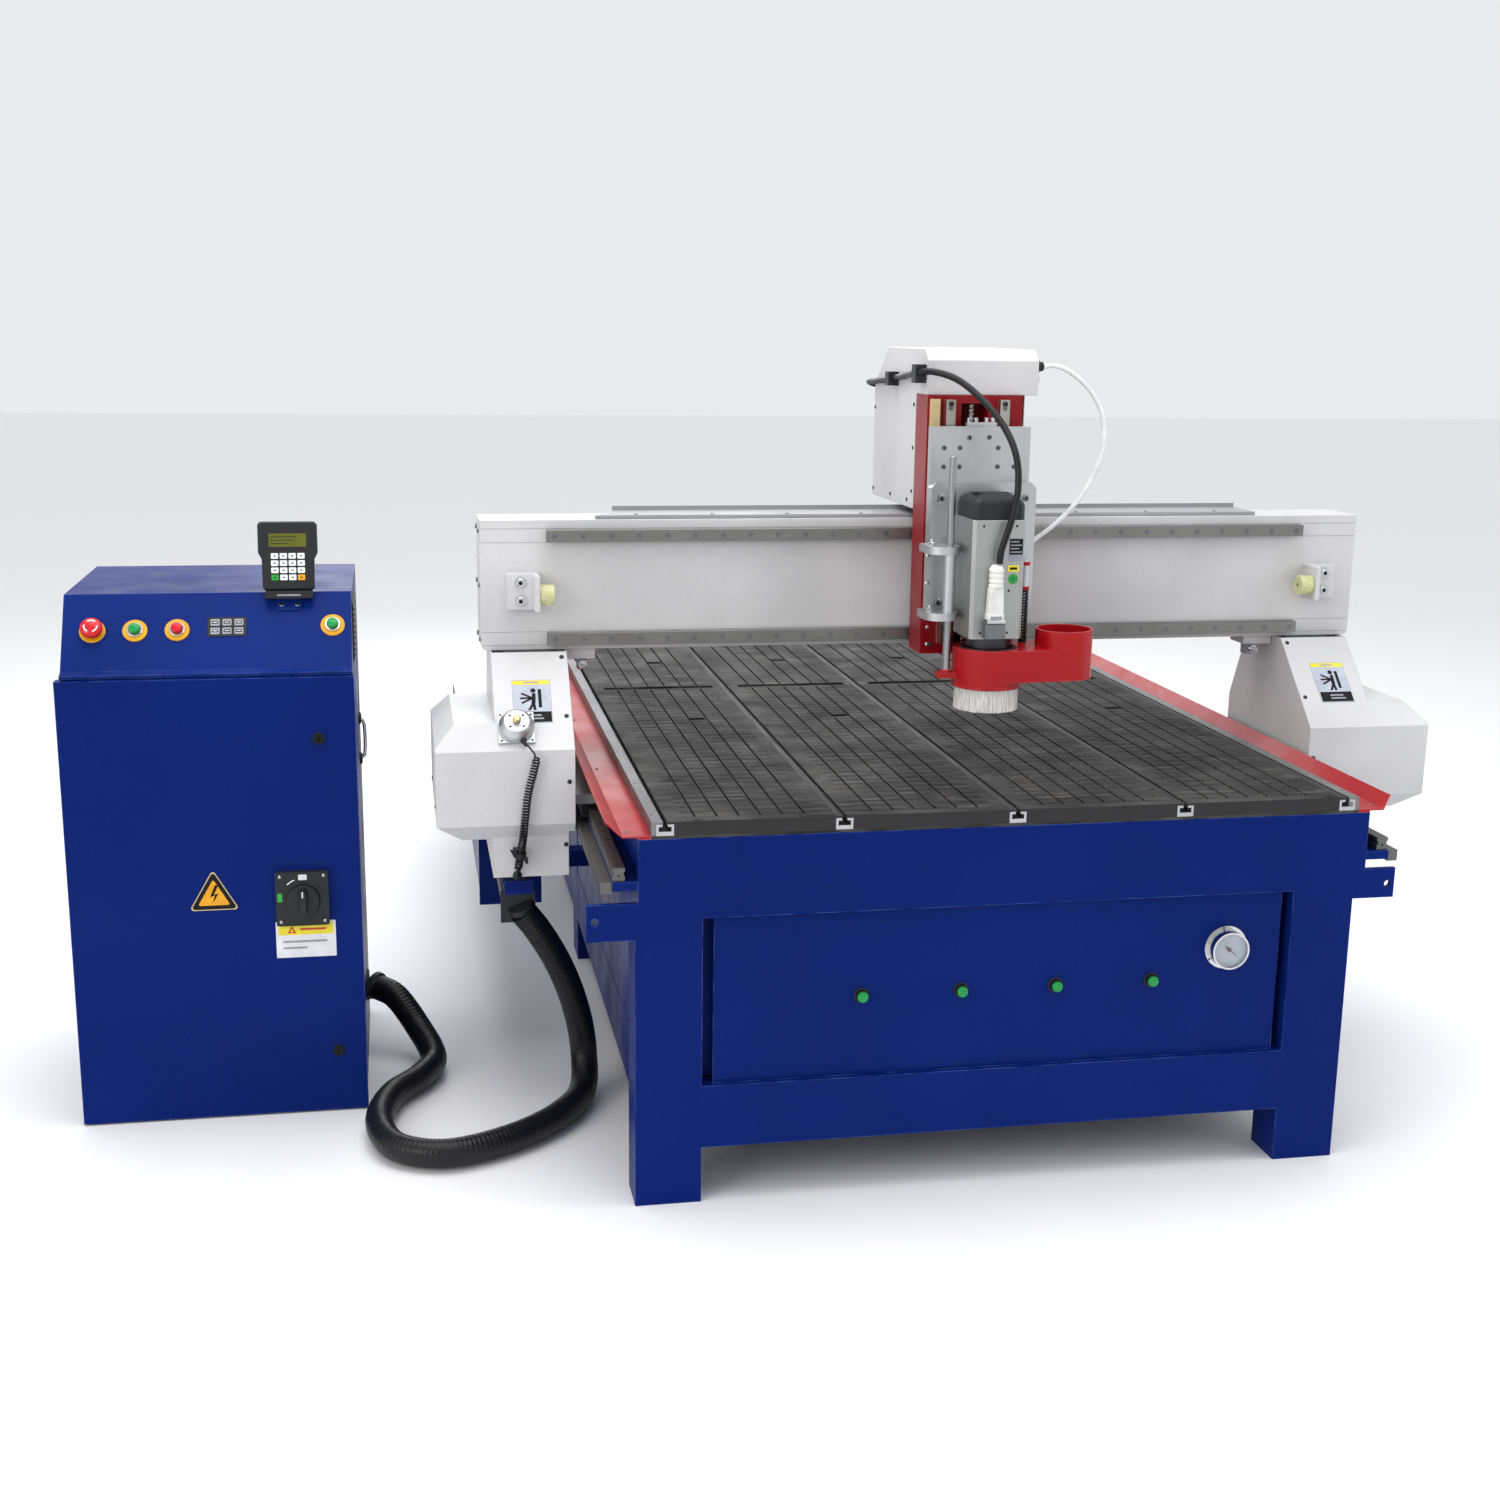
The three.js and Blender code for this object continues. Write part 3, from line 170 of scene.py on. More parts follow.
class Look:
    """One Principled material whose textures read object coordinates, in metres."""

    def __init__(self, name, colour, roughness, metallic=0.0, **sockets):
        self.material = bpy.data.materials.new(name)
        self.material.use_nodes = True
        self.material.diffuse_color = (*colour, 1)
        self.nodes = self.material.node_tree.nodes
        self.links = self.material.node_tree.links
        self.shader = self.nodes["Principled BSDF"]
        self.shader.inputs["Base Color"].default_value = (*colour, 1)
        self.shader.inputs["Roughness"].default_value = roughness
        self.shader.inputs["Metallic"].default_value = metallic
        for socket, value in sockets.items():
            self.shader.inputs[socket.replace("_", " ")].default_value = value
        self.coordinates = self.nodes.new("ShaderNodeTexCoord").outputs["Object"]
        self.normal = None

    def node(self, kind, settings=None, **inputs):
        """A new shader node; each input is a value or another node's output."""
        made = self.nodes.new("ShaderNode" + kind)
        for name, value in (settings or {}).items():
            setattr(made, name, value)
        for name, value in inputs.items():
            socket = made.inputs[name.replace("_", " ")]
            if isinstance(value, bpy.types.NodeSocket):
                self.links.new(value, socket)
            else:
                socket.default_value = value
        return made

    def noise(self, scale, detail=3.0, stretch=(1, 1, 1)):
        mapping = self.node("Mapping", Scale=stretch, Vector=self.coordinates)
        texture = self.node("TexNoise", Scale=scale, Detail=detail, Vector=mapping.outputs["Vector"])
        return texture.outputs["Fac"]

    def ranged(self, value, low, high, **inputs):
        """value spread from low to high over 0 to 1, or over To_Min to To_Max."""
        return self.node("MapRange", Value=value, From_Min=low, From_Max=high, **inputs).outputs["Result"]

    def colour_from(self, value, stops):
        """stops is a list of (position, linear colour)."""
        ramp = self.nodes.new("ShaderNodeValToRGB")
        elements = ramp.color_ramp.elements
        while len(elements) < len(stops):
            elements.new(0.5)
        for element, (position, colour) in zip(elements, stops):
            element.position = position
            element.color = (*colour, 1)
        self.links.new(value, ramp.inputs["Fac"])
        return self.mix_colour(ramp.outputs["Color"])

    def mix_colour(self, colour):
        self.links.new(colour, self.shader.inputs["Base Color"])
        return colour

    def speckle(self, base, value, low, high, colour):
        """Lays colour over base where value passes low, fully at high."""
        mask = self.ranged(value, low, high)
        mix = self.node("Mix", {"data_type": "RGBA"}, Factor=mask, A=base, B=(*colour, 1))
        return self.mix_colour(mix.outputs["Result"])

    def edge_wear_and_highlight_mask(self, radius):
        """1 on sharp edges, broken into patches, and 0 on flat faces: where edge wear and a painted
        highlight line go.
        """
        softened = self.node("Bevel", Radius=radius)
        face = self.node("NewGeometry")
        agreement = self.node("VectorMath", {"operation": "DOT_PRODUCT"})
        self.links.new(softened.outputs["Normal"], agreement.inputs[0])
        self.links.new(face.outputs["Normal"], agreement.inputs[1])
        both = self.node("Math", {"operation": "MULTIPLY"})
        self.links.new(self.ranged(agreement.outputs["Value"], 0.99, 0.84), both.inputs[0])
        self.links.new(self.ranged(self.noise(24, 5), 0.38, 0.6), both.inputs[1])
        return both.outputs["Value"]

    def roughness_from(self, value, low, high):
        spread = self.ranged(value, 0.3, 0.7, To_Min=low, To_Max=high)
        self.links.new(spread, self.shader.inputs["Roughness"])

    def bump(self, value, strength, distance):
        node = self.node("Bump", Strength=strength, Distance=distance, Height=value)
        if self.normal:
            self.links.new(self.normal, node.inputs["Normal"])
        self.normal = node.outputs["Normal"]
        self.links.new(self.normal, self.shader.inputs["Normal"])


def scaled(colour, factor):
    return tuple(min(1.0, c * factor) for c in colour)


def paint(name, colour, roughness, coat, grain=0.12, worn=None, gloss=0.25, edge=None, glint=1.3):
    """Sprayed enamel or powder coat: orange peel, cloudy tone, fine grain, specks of painted glint
    highlight, rubbed edges with a painted highlight line, and worn specks.
    """
    colour = rgb(colour)
    look = Look(name, colour, roughness, Coat_Weight=coat, Coat_Roughness=0.18, Specular_IOR_Level=gloss)
    base = look.colour_from(look.noise(3.5, 5), [(0.3, scaled(colour, 0.88)), (0.7, scaled(colour, 1.1))])
    # Specks scaled by glint: painted highlight glints of the orange peel; where glint is below 1, as on the
    # white, they are darker grain.
    base = look.speckle(base, look.noise(260, 3), 0.5, 0.9, scaled(colour, glint))
    if worn:
        base = look.speckle(base, look.noise(55, 9), 0.69, 0.73, rgb(worn))
    # Edges in the edge colour: rubbed wear and dirt where it is darker, a painted highlight line where it is
    # lighter.
    if edge:
        look.speckle(base, look.edge_wear_and_highlight_mask(0.003), 0.0, 1.0, rgb(edge))
    look.roughness_from(look.noise(9, 5), roughness - 0.07, roughness + 0.09)
    look.bump(look.noise(620, 2), grain, 0.0004)
    look.bump(look.noise(45, 2), 0.05, 0.001)
    return look.material


def metal(name, colour, roughness, stretch=(1, 1, 1), scale=900, streak=0.12, stain=0.85):
    """Machined metal: fine tool marks along the direction that stretch keeps long, and faint staining."""
    colour = rgb(colour)
    look = Look(name, colour, roughness, 1.0)
    marks = look.noise(scale, 3, stretch)
    look.colour_from(look.noise(11, 6), [(0.32, scaled(colour, stain)), (0.68, colour)])
    look.roughness_from(marks, roughness - 0.08, roughness + 0.14)
    look.bump(marks, streak, 0.0002)
    return look.material


def plastic(name, colour, roughness, grain=0.15, scale=1500, coat=0.0):
    """Moulded plastic or rubber with a fine texture and a slight change of tone."""
    colour = rgb(colour)
    look = Look(name, colour, roughness, Specular_IOR_Level=0.3, Coat_Weight=coat)
    look.colour_from(look.noise(30, 4), [(0.3, scaled(colour, 0.86)), (0.7, scaled(colour, 1.08))])
    look.roughness_from(look.noise(60, 3), roughness - 0.06, roughness + 0.1)
    look.bump(look.noise(scale, 2), grain, 0.0002)
    return look.material


def board_look():
    """Dark grooved vacuum board: mottled dust, pale scuffs, saw marks and a painted highlight line on its
    edges.
    """
    look = Look("pvc_board", rgb("2b2b2c"), 0.6, Specular_IOR_Level=0.1)
    tones = [(0.34, rgb("222223")), (0.52, rgb("313131")), (0.68, rgb("444342"))]
    base = look.colour_from(look.noise(4.2, 8), tones)
    base = look.speckle(base, look.noise(26, 6, (0.35, 2.4, 1)), 0.54, 0.74, rgb("585653"))
    base = look.speckle(base, look.noise(18, 5), 0.62, 0.7, rgb("1c1c1d"))
    # Lighter edges: a painted highlight line along the board's edges and groove rims.
    look.speckle(base, look.edge_wear_and_highlight_mask(0.0015), 0.0, 1.0, rgb("5c5b59"))
    look.roughness_from(look.noise(12, 4), 0.5, 0.74)
    look.bump(look.noise(500, 3), 0.25, 0.0004)
    return look.material


def bristle_look():
    look = Look("bristle", rgb("d9d8d4"), 0.5, Sheen_Weight=0.3)
    strands = look.noise(900, 2, (1, 1, 0.03))
    look.colour_from(strands, [(0.35, rgb("b4b2ac")), (0.62, rgb("f1f0ee"))])
    look.bump(strands, 0.6, 0.0006)
    return look.material


def clear_look(name, colour, roughness, transmission, index):
    """Glass or clear rubber; index is its index of refraction."""
    look = Look(name, colour, roughness, Transmission_Weight=transmission, IOR=index)
    look.roughness_from(look.noise(80, 3), roughness, roughness + 0.12)
    look.bump(look.noise(200, 2), 0.04, 0.0003)
    return look.material


# name: colour, roughness, and where they differ from the maker's: stretch, scale, streak and stain
METALS = {
    "rail_x": ("888886", 0.4, (0.02, 1, 1)),
    "rail_y": ("747473", 0.5, (1, 0.02, 1)),
    "rail_z": ("b9b6ae", 0.28, (1, 1, 0.02)),
    "aluminium_y": ("c9c9ca", 0.36, (1, 0.02, 1), 700, 0.2),
    "aluminium": ("c6c7c9", 0.38, (1, 1, 0.03), 700, 0.16, 0.92),
    "spindle_alu": ("b2b3b2", 0.46, (1, 1, 0.02), 800, 0.22, 0.9),
    "darker_lip_aluminium": ("454544", 0.55, (1, 0.02, 1), 500, 0.2, 0.8),
    "track_alu": ("8e8e8f", 0.5, (1, 0.02, 1), 600, 0.2, 0.8),
    "chrome": ("d4d5d7", 0.12, (1, 1, 1), 300, 0.02),
    "bolt": ("86878a", 0.3, (1, 1, 1), 900, 0.1),
    "dark_steel": ("4a4a4e", 0.38, (1, 1, 0.1), 900, 0.15),
    "rod_steel": ("a2a3a5", 0.3, (1, 1, 0.02), 900, 0.05),
    "connector_metal": ("858689", 0.45, (1, 1, 0.1), 900, 0.1),
    "brass": ("cdb684", 0.25, (1, 1, 1), 500, 0.05),
}
# name: colour, roughness, and where they differ from the maker's: grain, scale and coat
PLASTICS = {
    "black_plastic": ("202124", 0.42),
    "black_hole": ("0a0a0b", 0.7),
    "cap_grey": ("222326", 0.45, 0.3, 900),
    "drive_housing": ("c6c8c6", 0.45, 0.2, 900),
    "cable_black": ("151517", 0.36, 0.2, 700),
    "cord_black": ("0e0e10", 0.3, 0.1, 700),
    "white_plastic": ("e6e6e4", 0.36, 0.1, 900),
    "cream_strip": ("cdb98a", 0.5, 0.2, 400),
    "yellow": ("e3a21a", 0.35, 0.08, 900),
    "label_yellow": ("e8d83c", 0.45, 0.05, 900),
    "label_white": ("e0e0e6", 0.4, 0.05, 900),
    "label_blue": ("b3b9c8", 0.4, 0.05, 900),
    "board_slot_shade": ("0f0f10", 0.6),
    "board_trough_shade": ("1b1b1c", 0.6),
    "board_edge": ("29292a", 0.55, 0.3, 500),
    "label_grey": ("9a9aa2", 0.45, 0.05, 900),
    "label_red": ("c0392b", 0.45, 0.05, 900),
    "key_white": ("eceff2", 0.4, 0.08, 900),
    "lcd": ("5f6319", 0.25, 0.02, 300),
    "green_lens": ("0c8f43", 0.2, 0.02, 300, 0.2),
    "red_lens": ("c81520", 0.25, 0.02, 300, 0.15),
    "sight_green": ("2f9c3c", 0.3, 0.05, 900),
    "dial_white": ("dfe6ee", 0.4, 0.03, 900),
    "clear_tube": ("dcdfe1", 0.25, 0.03, 700),
}


# The enamels and powder coats, by paint()'s own names for their values.
# edge: the rubbed edges' colour, where lighter a painted highlight line; glint: specks of painted highlight.
PAINTS = {
    "blue_paint": dict(colour="061f66", roughness=0.36, coat=0.0, grain=0.18, gloss=0.06, edge="4a62a8"),
    # The console's blue: the cabinet's paint as on its door, painted lighter for the light on the shell and
    # console top.
    "console_blue_painted_lighter": dict(colour="0b256c", roughness=0.34, coat=0.0, grain=0.18, gloss=0.07, edge="5068ac"),
    "white_paint": dict(colour="cbcbcc", roughness=0.38, coat=0.04, grain=0.2, edge="a3a2a0", glint=0.93),
    "red_paint": dict(colour="a50c16", roughness=0.28, coat=0.08, grain=0.1, edge="c65a56"),
    "column_red": dict(colour="840812", roughness=0.34, coat=0.03, grain=0.12, edge="b5423f"),
    "guard_red": dict(colour="9c0e17", roughness=0.36, coat=0.03, grain=0.12, worn="c8504c", edge="d06a66"),
    "grey_steel": dict(colour="97989b", roughness=0.42, coat=0.05, grain=0.2, edge="77787a", glint=1.1),
    "black_paint": dict(colour="141416", roughness=0.4, coat=0.03, grain=0.2),
}


def make_materials():
    made = {name: metal(name, *values) for name, values in METALS.items()}
    made.update({name: plastic(name, *values) for name, values in PLASTICS.items()})
    made.update({name: paint(name, **values) for name, values in PAINTS.items()})
    made["glass"] = clear_look("glass", (0.95, 0.97, 1.0), 0.02, 0.95, 1.45)
    made["polyurethane"] = clear_look("polyurethane", rgb("eef0bc"), 0.2, 0.45, 1.3)
    made["pvc_board"] = board_look()
    made["bristle"] = bristle_look()
    return made


# ------------------------------------------------------------------ mesh pieces
class Piece:
    """A mesh piece of solids given in machine millimetres, each in its own or the piece's material."""

    def __init__(self, name, material=None):
        self.name = name
        self.material = material
        self.mesh = bmesh.new()
        self.names = []

    def add(self, points, faces, material=None):
        material = material or self.material
        if material not in self.names:
            self.names.append(material)
        index = self.names.index(material)
        verts = [self.mesh.verts.new(at(*p)) for p in points]
        for face in faces:
            made = self.mesh.faces.new([verts[i] for i in face])
            made.material_index = index
            made.smooth = True

    def loft(self, rings, material=None):
        """Joins rings of points, all of one count, with quads, and closes both ends."""
        count = len(rings[0])
        points = [p for ring in rings for p in ring]
        faces = []
        for r in range(len(rings) - 1):
            for i in range(count):
                a, b = r * count + i, r * count + (i + 1) % count
                faces.append((a, b, b + count, a + count))
        faces.append(tuple(reversed(range(count))))
        faces.append(tuple(range(len(points) - count, len(points))))
        self.add(points, faces, material)

    def box(self, low, high, material=None):
        (x0, y0, z0), (x1, y1, z1) = low, high
        floor = [(x0, y0, z0), (x1, y0, z0), (x1, y1, z0), (x0, y1, z0)]
        self.loft([floor, [(x, y, z1) for x, y, _ in floor]], material)

    def plate(self, outline, origin, thickness, material=None, across=X, up=Z):
        """A flat outline of (u, v) points at origin, raised by thickness along across x up."""
        origin, across, up = Vector(origin), Vector(across).normalized(), Vector(up).normalized()
        normal = across.cross(up)
        base = [origin + across * u + up * v for u, v in outline]
        self.loft([base, [p + normal * thickness for p in base]], material)

    def turned(self, profile, origin, axis, sides=32, material=None):
        """A solid of revolution: profile is (radius, height) along axis from origin, with flat ends."""
        turn = Z.rotation_difference(Vector(axis))
        rings = []
        for radius, height in profile:
            ring = []
            for i in range(sides):
                angle = 2 * pi * i / sides
                local = Vector((radius * cos(angle), radius * sin(angle), height))
                ring.append(Vector(origin) + turn @ local)
            rings.append(ring)
        self.loft(rings, material)

    def disc(self, radius, low, high, origin, axis, sides=32, material=None):
        self.turned([(radius, low), (radius, high)], origin, axis, sides, material)

    def hoop(self, profile, origin, material=None, sides=56):
        """An upright ring with a hole: the closed profile of (radius, height) points swept round origin."""
        points = []
        for i in range(sides):
            angle = 2 * pi * i / sides
            out = Vector((cos(angle), sin(angle), 0))
            points += [Vector(origin) + out * radius + Z * height for radius, height in profile]
        count, faces = len(profile), []
        for i in range(sides):
            for k in range(count):
                a, b = i * count, (i + 1) % sides * count
                faces.append((a + k, a + (k + 1) % count, b + (k + 1) % count, b + k))
        self.add(points, faces, material)

    def tube(self, path, radius, sides=12, material=None):
        """A round tube along path; radius is a number or a function of the point's index."""
        self.loft(tube_rings(path, radius, sides), material)

    def place(self, body, slot=None, bevel=0.0, segments=2, angle=35):
        bmesh.ops.recalc_face_normals(self.mesh, faces=self.mesh.faces)
        mesh = bpy.data.meshes.new(self.name)
        self.mesh.to_mesh(mesh)
        self.mesh.free()
        for name in self.names:
            mesh.materials.append(MATERIALS[name])
        mesh.set_sharp_from_angle(angle=radians(angle))
        piece = bpy.data.objects.new(self.name, mesh)
        link(piece)
        if bevel:
            add_bevel(piece, bevel, segments)
            even_normals(piece, True)
        if body:
            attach(piece, body)
        return piece


def add_bevel(piece, width, segments=2):
    bevel = piece.modifiers.new("bevel", "BEVEL")
    bevel.width = width * MM
    bevel.segments = segments
    bevel.limit_method = "ANGLE"
    bevel.angle_limit = radians(30)


def even_normals(piece, keep_sharp):
    """Keeps flat faces flat in shading, so only their rounded edges bend it."""
    even = piece.modifiers.new("even", "WEIGHTED_NORMAL")
    even.mode = "FACE_AREA"
    even.weight = 100
    even.keep_sharp = keep_sharp


def tube_rings(path, radius, sides):
    rings = []
    side = None
    for i, point in enumerate(path):
        ahead = (path[min(i + 1, len(path) - 1)] - path[max(i - 1, 0)]).normalized()
        side = ahead.orthogonal() if side is None else side - ahead * side.dot(ahead)
        side.normalize()
        other = ahead.cross(side)
        r = radius(i) if callable(radius) else radius
        turns = [2 * pi * k / sides for k in range(sides)]
        rings.append([point + side * (r * cos(a)) + other * (r * sin(a)) for a in turns])
    return rings


def smooth_path(points, spacing):
    """Points along a centripetal Catmull-Rom curve through points, about spacing apart."""
    pts = [Vector(p) for p in points]
    pts = [pts[0] * 2 - pts[1]] + pts + [pts[-1] * 2 - pts[-2]]
    path = []
    for p0, p1, p2, p3 in zip(pts, pts[1:], pts[2:], pts[3:]):
        t1 = (p1 - p0).length ** 0.5
        t2 = t1 + (p2 - p1).length ** 0.5
        t3 = t2 + (p3 - p2).length ** 0.5
        steps = max(2, round((p2 - p1).length / spacing))
        for s in range(steps):
            t = t1 + (t2 - t1) * s / steps
            a1 = p0 * ((t1 - t) / t1) + p1 * (t / t1)
            a2 = p1 * ((t2 - t) / (t2 - t1)) + p2 * ((t - t1) / (t2 - t1))
            a3 = p2 * ((t3 - t) / (t3 - t2)) + p3 * ((t - t2) / (t3 - t2))
            b1 = a1 * ((t2 - t) / t2) + a2 * (t / t2)
            b2 = a2 * ((t3 - t) / (t3 - t1)) + a3 * ((t - t1) / (t3 - t1))
            path.append(b1 * ((t2 - t) / (t2 - t1)) + b2 * ((t - t1) / (t2 - t1)))
    path.append(pts[-2].copy())
    return path


def length_of(path):
    return sum((b - a).length for a, b in zip(path, path[1:]))


def rect(u0, u1, v0, v1):
    """A rectangle as (u, v) points."""
    return [(u0, v0), (u1, v0), (u1, v1), (u0, v1)]


def circle(radius, sides=32, u=0.0, v=0.0, start=0.0, end=2 * pi):
    """(u, v) points round a circle, or along the arc from start to end."""
    whole = abs(end - start - 2 * pi) < 1e-6
    steps = sides if whole else sides - 1
    angles = [start + (end - start) * i / steps for i in range(sides)]
    return [(u + radius * cos(a), v + radius * sin(a)) for a in angles]


def rounded(u0, u1, v0, v1, radius, sides=5):
    """A rectangle with round corners, as (u, v) points."""
    corners = [(u1 - radius, v1 - radius, 0), (u0 + radius, v1 - radius, 1), (u0 + radius, v0 + radius, 2),
               (u1 - radius, v0 + radius, 3)]
    points = []
    for u, v, quarter in corners:
        points += circle(radius, sides, u, v, quarter * pi / 2, (quarter + 1) * pi / 2)
    return points


def socket_screw(piece, place, axis, radius=5.0, head=4.0, material="bolt"):
    """A cap screw with a hexagon socket, its socket a black disc as painted shade."""
    profile = [(radius, -0.5), (radius, head * 0.85), (radius * 0.88, head), (radius * 0.52, head)]
    piece.turned(profile, place, axis, 20, material)
    piece.disc(radius * 0.5, head * 0.4, head + 0.05, place, axis, 6, "black_hole")


def pan_screw(piece, place, axis, radius=4.0, material="bolt"):
    """A low domed screw with a cross recess, painted black as shade."""
    profile = [(radius, -0.3), (radius, 0.5), (radius * 0.8, 1.4), (radius * 0.4, 1.9), (0.1, 2.0)]
    piece.turned(profile, place, axis, 16, material)
    across = Vector(axis).orthogonal().normalized()
    up = Vector(axis).cross(across)
    tip = Vector(place) + Vector(axis).normalized() * 1.85
    for u, v in ((radius * 0.5, 0.4), (0.4, radius * 0.5)):
        piece.plate(rect(-u, u, -v, v), tip, 0.3, "black_hole", across=across, up=up)


def counterbore(piece, place, axis, radius=5.5):
    """A rail bolt sunk in its counterbore: a dark rim as painted shade in the gap round the head, and the
    bolt's socket head inside with its socket painted dark as shade.
    """
    piece.disc(radius, -0.3, 0.25, place, axis, 20, "dark_steel")
    piece.disc(radius * 0.84, 0, 0.4, place, axis, 20, "bolt")
    piece.disc(radius * 0.32, 0, 0.5, place, axis, 6, "dark_steel")


# ------------------------------------------------------------------ cords
CONDUIT_PATH = [
    (-1238, 917, 148), (-1203, 888, 137), (-1150, 826, 78), (-1118, 740, 36), (-1148, 640, 34),
    (-1212, 540, 34), (-1238, 400, 34), (-1200, 270, 34), (-1110, 226, 34), (-980, 272, 34),
    (-862, 380, 34), (-798, 510, 38), (-790, 570, 92), (-804, 560, 190), (-842, 535, 308),
    (-893, 505, 408), (-926, 494, 455),
]
CONDUIT_D = 60
SETTER_CORD_PATH = [
    (-924, 417, 844), (-914, 408, 834), (-900, 401, 814), (-903, 402, 790), (-916, 403, 740),
    (-923, 404, 690), (-928, 410, 640), (-933, 424, 600), (-937, 437, 570), (-939, 440, 548),
]
SETTER_COIL_D = 18
SETTER_WIRE_D = 3.8
SPINDLE_CABLE_PATH = [
    (34, 282, 1216), (36, 281, 1240), (54, 281, 1300), (66, 282, 1360), (66, 296, 1425),
    (52, 340, 1485), (14, 400, 1545), (-24, 448, 1580), (-60, 480, 1592), (-80, 515, 1591),
    (-77, 640, 1580), (-77, 780, 1568), (-80, 900, 1560), (-76, 956, 1556), (-40, 970, 1545),
    (-8, 960, 1530),
]
SPINDLE_CABLE_D = 14
AIR_TUBE_PATH = [
    (196, 520, 1604), (215, 516, 1606), (249, 510, 1593), (292, 500, 1555), (316, 490, 1508),
    (320, 480, 1465), (312, 470, 1420), (290, 462, 1372), (258, 456, 1325), (210, 452, 1278),
    (158, 450, 1240),
]
AIR_TUBE_D = 10


def make_conduit():
    """Corrugated conduit from the cabinet's side over the floor to the chain trough."""
    pitch = 9
    path = smooth_path(CONDUIT_PATH, pitch / 4)
    ripple = [0.0, 0.6, 0.8, 0.6]
    piece = Piece("conduit_hose", "cable_black")
    piece.tube(path, lambda i: CONDUIT_D / 2 - 0.8 + ripple[i % 4], 24)
    hose = piece.place("machine", "cable_black", angle=60)
    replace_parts(hose, "conduit")


def make_setter_cord():
    """Curly cord of the tool setter: straight leads and a close helix between them."""
    axis = smooth_path(SETTER_CORD_PATH, 0.35)
    total = length_of(axis)
    lead_in, lead_out, pitch, per_turn = 40, 12, 6.2, 14
    coil_r = (SETTER_COIL_D - SETTER_WIRE_D) / 2
    points, walked, side, last, due = [], 0.0, None, axis[0], 0.0
    for i, point in enumerate(axis):
        walked += (point - last).length
        last = point
        ahead = (axis[min(i + 1, len(axis) - 1)] - axis[max(i - 1, 0)]).normalized()
        side = X.copy() if side is None else side
        side = (side - ahead * side.dot(ahead)).normalized()
        coiled = lead_in < walked < total - lead_out
        if walked < due:
            continue
        due = walked + (pitch / per_turn if coiled else 6)
        fade = min(1.0, max(0.0, (walked - lead_in) / 8), max(0.0, (total - lead_out - walked) / 8))
        angle = 2 * pi * (walked - lead_in) / pitch
        reach = side * cos(angle) + ahead.cross(side) * sin(angle)
        points.append(point + reach * coil_r * fade)
    points.append(axis[-1].copy())
    curve = bpy.data.curves.new("setter_curly_cord", "CURVE")
    curve.dimensions = "3D"
    curve.bevel_depth = SETTER_WIRE_D / 2 * MM
    curve.bevel_resolution = 2
    spline = curve.splines.new("POLY")
    spline.points.add(len(points) - 1)
    row = [at(*p) for p in points]
    for target, point in zip(spline.points, row):
        target.co = (*point, 1)
    curve.materials.append(MATERIALS["cord_black"])
    cord = bpy.data.objects.new("setter_curly_cord", curve)
    link(cord)
    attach(cord, "gantry")
    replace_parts(cord, "setter_cord")


def make_head_cord(name, look, node, points, diameter, spacing, sides):
    """A cord through the given points, from the carriage at its fixed end to the Z slide at its moving end;
    it is attached to neither.
    """
    path = smooth_path(points, spacing)
    piece = Piece(name, look)
    piece.tube(path, diameter / 2, sides)
    cord = piece.place(None, look, angle=60)
    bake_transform(cord)
    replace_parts(cord, node)


def make_head_cords():
    make_head_cord("spindle_power_cable", "cable_black", "spindle_cable", SPINDLE_CABLE_PATH,
                   SPINDLE_CABLE_D, 7, 16)
    make_head_cord("air_hose", "clear_tube", "air_tube", AIR_TUBE_PATH,
                   AIR_TUBE_D, 6, 14)


# ------------------------------------------------------------------ bed
TRACK_PITCH = 345
TRACKS = [(k - 2) * TRACK_PITCH for k in range(5)]
BED_EDGE = 2 * TRACK_PITCH + 26
BED_LENGTH = 2620
BED_TOP = 775
GROOVES = [61 + 42.2 * k for k in range(6)]
GRID = (36, 304)
GROOVE_FLOOR = 770


def groove_strip(piece, x0, x1, y0, y1, pitch, depth):
    """One ridge between two deep grooves, its top crossed by shallow troughs."""
    rows = round((y1 - y0) / pitch)
    pitch = (y1 - y0) / rows
    profile = []
    for r in range(rows):
        y = y0 + r * pitch
        drop = 0.25 * random.random()
        profile += [(y + 0.1, BED_TOP - depth), (y + pitch * 0.22, BED_TOP - depth),
                    (y + pitch * 0.3, BED_TOP - drop), (y + pitch * 0.92, BED_TOP - drop)]
        # A dark sheet on each trough's floor: painted shade in the trough.
        if depth > 1:
            piece.box((x0, y - 0.6, BED_TOP - depth - 0.5), (x1, y + pitch * 0.2, BED_TOP - depth + 0.12),
                      "board_trough_shade")
    rings = [[(x0, y, GROOVE_FLOOR - 0.5), (x1, y, GROOVE_FLOOR - 0.5), (x1, y, z), (x0, y, z)]
             for y, z in profile]
    piece.loft(rings, "pvc_board")


